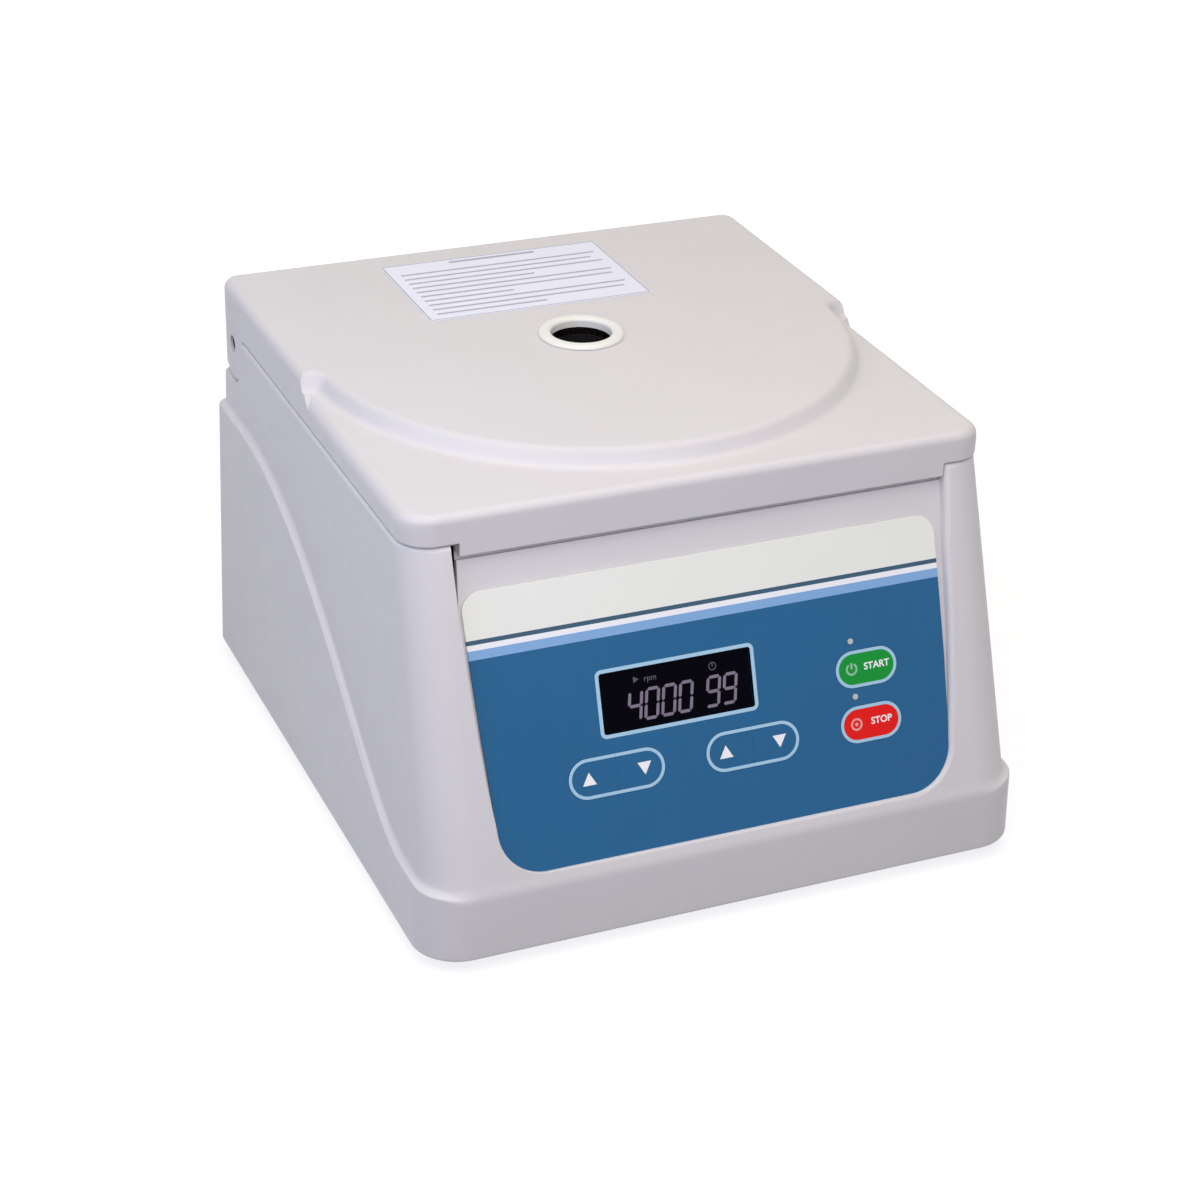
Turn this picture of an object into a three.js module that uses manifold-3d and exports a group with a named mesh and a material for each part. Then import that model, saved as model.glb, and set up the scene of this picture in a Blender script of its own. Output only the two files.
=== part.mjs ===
// Low-speed bench centrifuge: a moulded housing with a hinged lid, a film keypad and an angle rotor.
// Millimetres, +X to the right, +Y to the back, +Z up. The origin is under the middle of the footprint.
import * as THREE from 'three';
import { mergeVertices } from 'three/addons/utils/BufferGeometryUtils.js';
import Module from 'manifold-3d';

const wasm = await Module();
wasm.setup();

// Overall sizes: the depth follows from the rotor's chamber, the latch before it and the hinge behind it
const PLINTH_WIDTH = 298;
const LID_INSET = 9;
const FRONT_REACH = 49.1;
const LATCH_FROM_LID_FRONT = 21;
const LATCH_BEFORE_BOWL = 21.7;
const LID_BEHIND_BOWL = 27.8;
const FOOT_SHOW = 7;
const BODY_HEIGHT = 179.3;
const LID_RISE = 22.7;

// Walls and gaps
const WALL = 3;
const GAP = 0.3;
const SEAM = 0.5;
const MOVING_GAP = 0.7;
const OVERRUN = 12;

// Housing
const PLINTH_FRONT_HEIGHT = 32.7;
const PLINTH_BACK_DROP = 44;
const PLINTH_STEP = 3.3;
const PLINTH_CHAMFER = 2.5;
const FRONT_STEP = 2.6;
const BACK_STEP = 1;
const PLINTH_FRONT_RADIUS = 22;
const BODY_TOP_RADIUS = 15;
const BACK_RADIUS = 12;
const SWOOSH_START = 36;
const SWOOSH_END = 42;
const SWOOSH_START_HANDLE = 55;
const SWOOSH_END_HANDLE = 120;

// Sloping panel field
const FIELD_WIDTH_BOTTOM = 234;
const FIELD_FLARE = 4;
const FIELD_SETBACK_TOP = 6.1;
const FIELD_SETBACK_BOTTOM = 1.3;
const FIELD_CORNER = 26;
const SKIRT_DROP = 6.1;

// Lid
const LID_FRONT_RADIUS = 15;
const LID_EDGE_RADIUS = 6;
const DECK_DROP = 8.4;
const ROUND_FIELD_TOP_RADIUS = 128.8;
const ROUND_FIELD_FOOT_RADIUS = 133;
const REAR_FIELD_DEPTH = 126.4;
const LINER_THICK = 2;
const SCREW_RADIUS = 2;
const SCREW_HEAD_RADIUS = 3.6;
const SCREW_HEAD_THICK = 2;
const SCREW_HEAD_FACE_SHARE = 0.8;
const SCREW_BITE = 4;
const BOSS_RADIUS = 5;
const LINER_SCREW_INSET = 14;
const RING_OUTER_RADIUS = 20.5;
const RING_INNER_RADIUS = 14.5;
const RING_RISE = 2.4;
const RING_NECK_RADIUS = 17.2;
const RING_LEDGE = 2;
const LENS_THICK = 2.5;
const LABEL_WIDTH = 115.7;
const LABEL_DEPTH = 74.8;
const LABEL_THICK = 0.4;
const LABEL_GAP = 0.1;
const LABEL_SIDE = 4.7;
const LABEL_BEHIND_ROTOR = 75.3;

// Hinge
const EAR_RADIUS = 18.5;
const EAR_WIDTH = 22;
const HINGE_DROP = 7.3;
const ROLL_RADIUS = 14.6;
const REAR_LEDGE_DROP = 26.6;
const NOTCH_BEFORE_HINGE = 3;
const PIN_RADIUS = 3;
const PIN_IN_BODY = 20;
const PIN_SUNK = 1;

// Rotor chamber
const BOWL_CLEAR = 10.6;
const BOWL_FLOOR_CLEAR = 6.6;
const BOWL_WALL = 1.5;
const BOWL_CORNER = 12;
const FLANGE_WIDTH = 6;
const GASKET_INSET = 0.6;
const LINER_LIFT = 4.6;
const SHAFT_HOLE_RADIUS = 9;

// Rotor and sleeves
const SLEEVES = 6;
const SLEEVE_TILT = THREE.MathUtils.degToRad(35);
const MOUTH_RADIUS = 37;
const MOUTH_DROP = 26.8;
const SLEEVE_LENGTH = 80;
const SLEEVE_RADIUS = 10.5;
const SLEEVE_WALL = 1.6;
const COLLAR_RADIUS = 12.6;
const COLLAR_THICK = 2.5;
const CROWN_RADIUS = 62;
const CROWN_THICK = 13;
const HUB_RADIUS = 15;
const HUB_RISE = 9;
const HUB_LENGTH = 46;
const SHAFT_RADIUS = 5;
const NUT_RADIUS = 9;
const NUT_HEIGHT = 7;
const SHAFT_PROUD = 1.5;

// Drive under the chamber
const BASE_THICK = 2;
const BASE_SUNK = 0.5;
const DAMPER_HEIGHT = 17;
const DAMPER_RADIUS = 8;
const DAMPER_WAIST = 6;
const DAMPERS = 3;
const BRACKET_RADIUS = 58;
const BRACKET_THICK = 3.5;
const MOTOR_RADIUS = 44;
const MOTOR_BELOW_BOWL = 6;
const MOTOR_CHAMFER = 4;
const MOTOR_BORE_SHARE = 0.644;

// Feet
const FOOT_RADIUS = 11;
const FOOT_TOP_RADIUS = 9;
const FOOT_INSET_X = 26;
const FOOT_INSET_Y = 30;
const FOOT_SEAT = 4;
const FOOT_CHAMFER = 1;

// Panel pieces: the places are shares of the film's width and length, from its middle
const OVERLAY_SIDE_MARGIN = 4;
const OVERLAY_THICK = 1;
const OVERLAY_BOTTOM_MARGIN = 4;
const OVERLAY_TOP_MARGIN = 17.5;
const OVERLAY_TOP_CORNER = 10;
const OVERLAY_BOTTOM_CORNER = 22;
const DISPLAY_WIDTH = 69;
const DISPLAY_LENGTH = 25;
const DISPLAY_PLACE_SHARES = [-0.0898, 0.038];
const DISPLAY_MODULE_MARGIN = 5;
const KEY_WIDTH = 45.3;
const KEY_LENGTH = 18.5;
const RUN_KEY_WIDTH = 31;
const RUN_KEY_LENGTH = 17.3;
const KEY_TRAVEL = 0.5;
const KEY_PROUD = 0.2;
const KEY_THICK = 0.6;
const WINDOW_SUNK = 0.2;
const STEM_RADIUS = 2;
const LED_RADIUS = 1.4;
const LED_ABOVE_KEY = 4.4;
const LED_BELOW_KEY = 4;
const LED_SIDE = 6.7;
const BOARD_THICK = 1.6;
const BOARD_DEPTH = 5.2;
const STEM_BEHIND_WALL = 1.2;
const BOARD_WIDTH = 190;
const BOARD_LENGTH = 72;
const SWITCH_SIZE = 6;
const SPEED_KEYS_PLACE_SHARES = [-0.2376, -0.212];
const TIME_KEYS_PLACE_SHARES = [0.0553, -0.212];
const STOP_PLACE_SHARES = [0.3173, -0.21];
const BOARD_PLACE_SHARES = [0.0221, -0.075];

// Latch at the front of the deck
const TONGUE_DEPTH = 13;
const TONGUE_THICK = 2.5;
const TONGUE_DROP = 21;
const TONGUE_WINDOW = 7;
const TONGUE_RIM = 3.5;
const STRIKER_FOOT_WIDTH = 22;
const STRIKER_THICK = 1.6;
const BOLT_RADIUS = 2.7;
const BOLT_LENGTH = 42;
const BOLT_CLEAR = 1.8;
const FRAME_THICK = 3;
const FRAME_RIM = 1.5;
const GUIDE_WIDTH = 8;
const SOLENOID_GAP = 6;
const SLOT_CLEAR = 3;
const LID_SWITCH_WIDTH = 16;
const LID_SWITCH_DEPTH = 13;
const LID_SWITCH_HEIGHT = 12;
const LEVER_WIDTH = 2.5;
const LEVER_HEIGHT = 3.6;
const LEVER_DROP = 3.6;
const LEVER_REACH = 2.2;

// Rear panel and power parts
const POCKET_DEPTH = 4;
const POCKET_WIDTH = 110;
const POCKET_HEIGHT = 42;
const POCKET_MIDDLE = 42;
const INLET_WIDTH = 27;
const INLET_HEIGHT = 19.8;
const INLET_LENGTH = 24;
const INLET_SIDE = 26;
const SOCKET_WIDTH = 24;
const SOCKET_HEIGHT = 16;
const SOCKET_DEPTH = 16;
const PIN_BLADE = 2;
const PIN_BLADE_HEIGHT = 4;
const PIN_BLADE_LENGTH = 11;
const PIN_BLADE_PITCH_SHARE = 0.29;
const FLANGE_PROUD = 1.8;
const FLANGE_RIM = 2.5;
const BEZEL_WIDTH = 14;
const BEZEL_HEIGHT = 20;
const BEZEL_LENGTH = 16;
const BEZEL_WALL = 1.3;
const ROCKER_TILT = THREE.MathUtils.degToRad(10);
const ROCKER_PIVOT_DEPTH = 4;
const ROCKER_BACK_RADIUS = 5;
const ROCKER_PROUD = 0.4;
const ROCKER_END_GAP = 1;
const ROCKER_TAPER = 1;
const VENTS = 12;
const VENT_WIDTH = 3;
const VENT_HEIGHT = 30;
const VENT_PITCH = 14;
const VENT_MIDDLE = 95;
const POWER_BOARD_WIDTH = 70;
const POWER_BOARD_DEPTH = 62;
const POWER_BOARD_FROM_SIDE = 48;
const STUD_HEIGHT = 6;
const STUD_RADIUS = 3;
const COIL_SIZE = 22;
const COIL_DEPTH = 29;
const CAN_RADIUS = 8;

// Facets: steps to a quarter of a corner, and sides to a full round
const CORNER_STEPS = 4;
const SMALL_SIDES = 12;
const ROUND_SIDES = 20;
const BOWL_SIDES = 36;
const CURVE_STEPS = 14;
const CROWN_SIDES = 24;
const RING_SIDES = 24;
const FIELD_SIDES = 48;
const EDGE_STEPS = 2;
const BEND_STEPS = 3;

// Places worked out from the sizes
const SWING_RADIUS = MOUTH_RADIUS + (SLEEVE_LENGTH - SLEEVE_RADIUS) * Math.sin(SLEEVE_TILT) + SLEEVE_RADIUS;
const SWING_DROP = (SLEEVE_LENGTH - SLEEVE_RADIUS) * Math.cos(SLEEVE_TILT) + SLEEVE_RADIUS;
const BOWL_RADIUS = SWING_RADIUS + BOWL_CLEAR;
const BOWL_DEPTH = MOUTH_DROP + SWING_DROP + BOWL_FLOOR_CLEAR;
const ROTOR_FROM_LID_FRONT = LATCH_FROM_LID_FRONT + LATCH_BEFORE_BOWL + BOWL_RADIUS + FLANGE_WIDTH;
const LID_DEPTH = ROTOR_FROM_LID_FRONT + BOWL_RADIUS + FLANGE_WIDTH + LID_BEHIND_BOWL;
const LID_WIDTH = PLINTH_WIDTH - LID_INSET * 2;
const DEPTH = LID_DEPTH + FRONT_REACH;
const FRONT_Y = -DEPTH / 2;
const BACK_Y = DEPTH / 2;
const SHELL_Z = FOOT_SHOW;
const SEAM_Z = SHELL_Z + BODY_HEIGHT;
const DECK_Z = SEAM_Z - SEAM;
const DECK_UNDER_Z = DECK_Z - WALL;
const LID_TOP_Z = SEAM_Z + LID_RISE;
const LID_DECK_Z = LID_TOP_Z - DECK_DROP;
const LID_FRONT_Y = BACK_Y - LID_DEPTH;
const PLINTH_TOP_Z = SHELL_Z + PLINTH_FRONT_HEIGHT;
const ROTOR_Y = LID_FRONT_Y + ROTOR_FROM_LID_FRONT;
const HINGE_Y = BACK_Y - EAR_RADIUS;
const HINGE_Z = SEAM_Z - HINGE_DROP;
const EAR_INNER_X = LID_WIDTH / 2 - EAR_WIDTH;
const REAR_LEDGE_Z = SEAM_Z - REAR_LEDGE_DROP;
const LINER_Z = DECK_Z + LINER_LIFT;
const LINER_TOP_Z = LINER_Z + LINER_THICK;
const BOWL_FLOOR_Z = DECK_Z - BOWL_DEPTH;
const BASE_Z = SHELL_Z + BASE_SUNK;
const BASE_TOP_Z = BASE_Z + BASE_THICK;
const BRACKET_Z = BASE_TOP_Z + GAP + DAMPER_HEIGHT + GAP;
const MOTOR_Z = BRACKET_Z + BRACKET_THICK + GAP;
const MOTOR_TOP_Z = BOWL_FLOOR_Z - BOWL_WALL - MOTOR_BELOW_BOWL;
const MOTOR_BORE_Z = MOTOR_TOP_Z - (MOTOR_TOP_Z - MOTOR_Z) * MOTOR_BORE_SHARE;
const MOUTH_Z = DECK_Z - MOUTH_DROP;
const FLANGE_Z = DECK_Z + GAP;
const FLANGE_TOP_Z = FLANGE_Z + BOWL_WALL;
const LINER_HALF = LID_WIDTH / 2 - WALL - GAP * 2;
const LINER_FRONT_Y = LID_FRONT_Y + WALL + GAP * 2;
const LINER_BACK_Y = HINGE_Y - EAR_RADIUS - GAP * 2;
const POWER_BOARD_X = PLINTH_WIDTH / 2 - POWER_BOARD_FROM_SIDE;
const ROCKER_ROOM = BEZEL_WIDTH - BEZEL_WALL * 2;
const ROCKER_SPAN = BEZEL_HEIGHT - BEZEL_WALL * 2;
const CORNER_SHRINK = (PLINTH_FRONT_RADIUS - BODY_TOP_RADIUS) / BODY_HEIGHT;

// The line of the front pillars, from the top of the plinth to the lid
const PILLAR_FOOT_Y = FRONT_Y + FRONT_STEP;
const PILLAR_RUN = LID_FRONT_Y - PILLAR_FOOT_Y;
const PILLAR_SLOPE = PILLAR_RUN / (SEAM_Z - PLINTH_TOP_Z);

// The sunk field's plane: its foot, its lean and its length up the slope to the lid's skirt
const SKIRT_Z = SEAM_Z - SKIRT_DROP;
const FIELD_FOOT_Y = PILLAR_FOOT_Y + FIELD_SETBACK_BOTTOM;
const FIELD_TOP_Y = PILLAR_FOOT_Y + PILLAR_SLOPE * (SKIRT_Z - PLINTH_TOP_Z) + FIELD_SETBACK_TOP;
const FIELD_WIDTH_TOP = FIELD_WIDTH_BOTTOM + FIELD_FLARE;
const FIELD_RISE = SKIRT_Z - PLINTH_TOP_Z;
const FIELD_RUN = FIELD_TOP_Y - FIELD_FOOT_Y;
const FIELD_LENGTH = Math.hypot(FIELD_RISE, FIELD_RUN);
const FIELD_LEAN = Math.atan2(FIELD_RUN, FIELD_RISE);

const white = new THREE.Color(0xdcd9d8);
const warmWhite = new THREE.Color(0xfaf8eb);
const blue = new THREE.Color(0x30638e);
const steel = new THREE.Color(0xb9bcc0);
const black = new THREE.Color(0x15151a);
const green = new THREE.Color(0x009132);
const red = new THREE.Color(0xdc1914);
const boardGreen = new THREE.Color(0x1f5a3a);

const finish = (color, roughness, metalness = 0) =>
  new THREE.MeshStandardMaterial({ color, roughness, metalness });

const shellPlastic = () => finish(white, 0.45);
const ringPlastic = () => finish(warmWhite, 0.35);
const blackPlastic = () => finish(black, 0.4);
const rubber = () => finish(black, 0.85);
const brushedSteel = () => finish(steel, 0.3, 1);
const circuitBoard = () => finish(boardGreen, 0.55);

// Shapes and solids

// A geometry with its shared corners merged and its collapsed faces left out.
function clean(geometry) {
  const bare = new THREE.BufferGeometry();
  const source = geometry.index ? geometry.toNonIndexed() : geometry;
  bare.setAttribute('position', source.getAttribute('position').clone());
  const merged = mergeVertices(bare, 1e-3);
  const kept = [];
  const index = merged.index.array;
  for (let i = 0; i < index.length; i += 3) {
    const [a, b, c] = index.slice(i, i + 3);
    if (a !== b && b !== c && c !== a) kept.push(a, b, c);
  }
  merged.setIndex(kept);
  return merged;
}

const solid = (geometry) => {
  const merged = clean(geometry);
  return new wasm.Manifold(new wasm.Mesh({
    numProp: 3,
    vertProperties: merged.attributes.position.array,
    triVerts: new Uint32Array(merged.index.array),
  }));
};

const fuse = (...solids) => solids.reduce((sum, next) => sum.add(next));
const cut = (body, ...tools) => tools.reduce((rest, tool) => rest.subtract(tool), body);

function geometryOf(body) {
  const mesh = body.getMesh();
  const geometry = new THREE.BufferGeometry();
  geometry.setAttribute('position', new THREE.BufferAttribute(new Float32Array(mesh.vertProperties), 3));
  geometry.setIndex([...mesh.triVerts]);
  return geometry;
}

// A box given by its lowest and highest corners.
function block([x0, y0, z0], [x1, y1, z1]) {
  const box = new THREE.BoxGeometry(x1 - x0, y1 - y0, z1 - z0);
  return solid(box.translate((x0 + x1) / 2, (y0 + y1) / 2, (z0 + z1) / 2));
}

// A round bar between two points.
function rod(radius, from, to, sides = SMALL_SIDES, endRadius = radius) {
  const start = new THREE.Vector3(...from);
  const along = new THREE.Vector3(...to).sub(start);
  const bar = new THREE.CylinderGeometry(endRadius, radius, along.length(), sides);
  const turn = new THREE.Quaternion().setFromUnitVectors(
    new THREE.Vector3(0, 1, 0), along.clone().normalize());
  bar.applyQuaternion(turn);
  return solid(bar.translate(...start.addScaledVector(along, 1 / 2).toArray()));
}

// A profile of [radius, height] points turned round the Z axis.
function turned(profile, sides = ROUND_SIDES) {
  const points = profile.map(([radius, height]) => new THREE.Vector2(radius, height));
  points.push(points[0].clone());
  return solid(new THREE.LatheGeometry(points, sides).rotateX(Math.PI / 2));
}

// The points of an arc round [x, y], both ends included.
function arc([x, y], radius, fromDegrees, toDegrees, steps = CORNER_STEPS) {
  return Array.from({ length: steps + 1 }, (_, i) => {
    const angle = THREE.MathUtils.degToRad(fromDegrees + (toDegrees - fromDegrees) * i / steps);
    return [x + radius * Math.cos(angle), y + radius * Math.sin(angle)];
  });
}

// A rectangle with rounded corners, counter-clockwise from the front right one.
function roundedPoints(halfWidth, front, back, frontRadius, backRadius = frontRadius, middle = 0) {
  const right = middle + halfWidth;
  const left = middle - halfWidth;
  return [
    ...arc([right - frontRadius, front + frontRadius], frontRadius, -90, 0),
    ...arc([right - backRadius, back - backRadius], backRadius, 0, 90),
    ...arc([left + backRadius, back - backRadius], backRadius, 90, 180),
    ...arc([left + frontRadius, front + frontRadius], frontRadius, 180, 270),
  ];
}

const shapeOf = (points) => new THREE.Shape(points.map(([x, y]) => new THREE.Vector2(x, y)));

// A flat outline given thickness along Z, with its holes.
function plate(points, bottom, top, holes = []) {
  const shape = shapeOf(points);
  shape.holes = holes.map(shapeOf);
  const slab = new THREE.ExtrudeGeometry(shape, { depth: top - bottom, bevelEnabled: false });
  return solid(slab.translate(0, 0, bottom));
}

const circlePoints = (x, y, radius, sides = SMALL_SIDES) =>
  arc([x, y], radius, 0, 360, sides).slice(0, -1);

// A skin over rings of points at rising heights, closed by a flat floor and a flat top.
function loft(rings) {
  const count = rings[0].points.length;
  const places = rings.flatMap(({ z, points }) => points.flatMap(([x, y]) => [x, y, z]));
  const faces = [];
  for (let level = 0; level < rings.length - 1; level++) {
    for (let i = 0; i < count; i++) {
      const low = level * count + i;
      const lowNext = level * count + (i + 1) % count;
      faces.push(low, lowNext, lowNext + count);
      faces.push(low, lowNext + count, low + count);
    }
  }
  const top = (rings.length - 1) * count;
  for (let i = 1; i < count - 1; i++) {
    faces.push(0, i + 1, i);
    faces.push(top, top + i, top + i + 1);
  }
  const geometry = new THREE.BufferGeometry();
  geometry.setAttribute('position', new THREE.Float32BufferAttribute(places, 3));
  geometry.setIndex(faces);
  return solid(geometry);
}

// An outline in (y, z) given width along X.
function sideways(points, fromX, toX) {
  const slab = new THREE.ExtrudeGeometry(shapeOf(points), { depth: toX - fromX, bevelEnabled: false });
  const turn = new THREE.Matrix4().makeBasis(
    new THREE.Vector3(0, 1, 0), new THREE.Vector3(0, 0, 1), new THREE.Vector3(1, 0, 0));
  return solid(slab.translate(0, 0, fromX).applyMatrix4(turn));
}

const bothSides = (make) => [-1, 1].map(make);

function named(name, body, material, place) {
  const geometry = geometryOf(body);
  geometry.computeVertexNormals();
  const mesh = new THREE.Mesh(geometry, material);
  mesh.name = name;
  place.add(mesh);
  return mesh;
}

// The sloping field's frame: x across, y up the slope from the plinth's top, z out of the field
const panel = new THREE.Group();
panel.position.set(0, FIELD_FOOT_Y, PLINTH_TOP_Z);
panel.rotation.x = Math.PI / 2 - FIELD_LEAN;
panel.updateMatrix();
const ontoPanel = (body) => solid(geometryOf(body).applyMatrix4(panel.matrix));

const overlayWidth = FIELD_WIDTH_BOTTOM - OVERLAY_SIDE_MARGIN * 2;
const overlayBottom = OVERLAY_BOTTOM_MARGIN;
const overlayTop = FIELD_LENGTH - OVERLAY_TOP_MARGIN;
const overlayLength = overlayTop - overlayBottom;
const overlayMiddle = (overlayBottom + overlayTop) / 2;
const onOverlay = ([acrossShare, upShare]) =>
  [acrossShare * overlayWidth, overlayMiddle + upShare * overlayLength];

// The keys: each pair shares one capsule outline, split down its middle
const capsule = ([x, y], width, length, grow = 0) => {
  const radius = length / 2 + grow;
  return roundedPoints(width / 2 + grow, y - radius, y + radius, radius, radius, x);
};

const speedKeys = onOverlay(SPEED_KEYS_PLACE_SHARES);
const timeKeys = onOverlay(TIME_KEYS_PLACE_SHARES);
const stopPlace = onOverlay(STOP_PLACE_SHARES);
const runKeyPitch = RUN_KEY_LENGTH + LED_ABOVE_KEY + LED_BELOW_KEY;
const startPlace = [stopPlace[0], stopPlace[1] + runKeyPitch];
const keys = [
  { name: 'speed_up_key', middle: speedKeys, half: -1 },
  { name: 'speed_down_key', middle: speedKeys, half: 1 },
  { name: 'time_up_key', middle: timeKeys, half: -1 },
  { name: 'time_down_key', middle: timeKeys, half: 1 },
  { name: 'start_key', middle: startPlace, half: 0, color: green },
  { name: 'stop_key', middle: stopPlace, half: 0, color: red },
].map((key) => ({
  ...key,
  width: key.half ? KEY_WIDTH : RUN_KEY_WIDTH,
  length: key.half ? KEY_LENGTH : RUN_KEY_LENGTH,
  stem: [key.middle[0] + key.half * KEY_WIDTH / 4, key.middle[1]],
}));
const overKey = ([x, y]) => [x - LED_SIDE, y + RUN_KEY_LENGTH / 2 + LED_ABOVE_KEY];
const leds = [
  { name: 'start_led', place: overKey(startPlace) },
  { name: 'stop_led', place: overKey(stopPlace) },
];
const displayPlace = onOverlay(DISPLAY_PLACE_SHARES);
const boardPlace = onOverlay(BOARD_PLACE_SHARES);

const rectangleAt = ([x, y], width, length, grow = 0) => [
  [x - width / 2 - grow, y - length / 2 - grow],
  [x + width / 2 + grow, y - length / 2 - grow],
  [x + width / 2 + grow, y + length / 2 + grow],
  [x - width / 2 - grow, y + length / 2 + grow],
];

// Half width and corner radius of the upper body at a height above the shell's edge
const bodyHalfWidth = (height) => {
  const foot = PLINTH_WIDTH / 2 - PLINTH_STEP;
  return foot + (LID_WIDTH / 2 - foot) * height / BODY_HEIGHT;
};
const bodyCorner = (height) => PLINTH_FRONT_RADIUS - CORNER_SHRINK * height;
const pillarY = (z) => PILLAR_FOOT_Y + PILLAR_SLOPE * Math.max(z - PLINTH_TOP_Z, 0);

function bodyRing(z) {
  const height = z - SHELL_Z;
  return {
    z,
    points: roundedPoints(
      bodyHalfWidth(height), pillarY(z), BACK_Y - BACK_STEP, bodyCorner(height), BACK_RADIUS),
  };
}

function plinthRing(z, inset = 0) {
  const half = bodyHalfWidth(z - SHELL_Z) + PLINTH_STEP - inset;
  return {
    z,
    points: roundedPoints(half, FRONT_Y + inset, BACK_Y - inset, PLINTH_FRONT_RADIUS, BACK_RADIUS),
  };
}

// The field's plane is the cavity's front too, a wall further in, down to where the plinth takes over
function cavityRing(z) {
  const fieldY = FIELD_FOOT_Y + WALL / Math.cos(FIELD_LEAN) + (z - PLINTH_TOP_Z) * Math.tan(FIELD_LEAN);
  const front = Math.max(fieldY, FRONT_Y + WALL);
  const half = bodyHalfWidth(Math.max(z - SHELL_Z, 0)) - WALL;
  const corner = BODY_TOP_RADIUS - WALL;
  const back = BACK_Y - BACK_STEP - WALL;
  return { z, points: roundedPoints(half, front, back, corner, BACK_RADIUS - WALL) };
}

const footX = PLINTH_WIDTH / 2 - FOOT_INSET_X;
const footPlaces = [
  [-footX, FRONT_Y + FOOT_INSET_Y], [footX, FRONT_Y + FOOT_INSET_Y],
  [footX, BACK_Y - FOOT_INSET_Y], [-footX, BACK_Y - FOOT_INSET_Y],
];
const linerScrewX = LINER_HALF - LINER_SCREW_INSET;
const linerScrews = [
  [-linerScrewX, LINER_FRONT_Y + LINER_SCREW_INSET], [linerScrewX, LINER_FRONT_Y + LINER_SCREW_INSET],
  [linerScrewX, LINER_BACK_Y - LINER_SCREW_INSET], [-linerScrewX, LINER_BACK_Y - LINER_SCREW_INSET],
];

const KNEE_Z = PLINTH_TOP_Z
  + (FRONT_Y + WALL - FIELD_FOOT_Y - WALL / Math.cos(FIELD_LEAN)) / Math.tan(FIELD_LEAN);

function swooshOutline() {
  const start = new THREE.Vector2(FRONT_Y + SWOOSH_START, PLINTH_TOP_Z);
  const end = new THREE.Vector2(BACK_Y - SWOOSH_END, SEAM_Z - PLINTH_BACK_DROP);
  const curve = new THREE.CubicBezierCurve(
    start,
    new THREE.Vector2(start.x + SWOOSH_START_HANDLE, start.y),
    new THREE.Vector2(end.x - SWOOSH_END_HANDLE, end.y),
    end,
  );
  return [
    [FRONT_Y - OVERRUN, SHELL_Z - OVERRUN],
    [BACK_Y + OVERRUN, SHELL_Z - OVERRUN],
    [BACK_Y + OVERRUN, end.y],
    ...curve.getPoints(CURVE_STEPS).reverse().map((point) => [point.x, point.y]),
    [FRONT_Y - OVERRUN, PLINTH_TOP_Z],
  ];
}

// The space that the lid's rear wall and ears turn in, with the solid roll between the ears left standing
function hingeCuts() {
  const side = PLINTH_WIDTH / 2 + OVERRUN;
  const inner = EAR_INNER_X - MOVING_GAP;
  const swing = EAR_RADIUS + MOVING_GAP;
  const roll = rod(ROLL_RADIUS, [-inner, HINGE_Y, HINGE_Z], [inner, HINGE_Y, HINGE_Z], ROUND_SIDES);
  const neck = block([-inner, HINGE_Y - ROLL_RADIUS, HINGE_Z], [inner, HINGE_Y, DECK_Z]);
  const notchY = HINGE_Y - NOTCH_BEFORE_HINGE;
  const rear = block([-side, notchY, REAR_LEDGE_Z], [side, BACK_Y + OVERRUN, SEAM_Z + OVERRUN]);
  const ears = bothSides((sign) => rod(
    swing, [sign * inner, HINGE_Y, HINGE_Z], [sign * side, HINGE_Y, HINGE_Z], ROUND_SIDES));
  return [cut(rear, roll, neck), ...ears];
}

// What the inner space leaves solid round the hinge
function hingeStock() {
  const side = PLINTH_WIDTH / 2 + OVERRUN;
  const front = HINGE_Y - EAR_RADIUS - MOVING_GAP - WALL;
  const floor = REAR_LEDGE_Z - WALL;
  const ears = bothSides((sign) => {
    const ends = [sign * (EAR_INNER_X - MOVING_GAP - WALL), sign * side].sort((a, b) => a - b);
    return block([ends[0], front, floor], [ends[1], BACK_Y, SEAM_Z]);
  });
  const inner = EAR_INNER_X - MOVING_GAP;
  const roll = rod(ROLL_RADIUS, [-inner, HINGE_Y, HINGE_Z], [inner, HINGE_Y, HINGE_Z], ROUND_SIDES);
  const notchY = HINGE_Y - NOTCH_BEFORE_HINGE - WALL;
  return fuse(block([-side, notchY, floor], [side, BACK_Y, SEAM_Z]), roll, ...ears);
}

const pocketZ = SHELL_Z + POCKET_MIDDLE;
const pocketFloorY = BACK_Y - POCKET_DEPTH;

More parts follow.
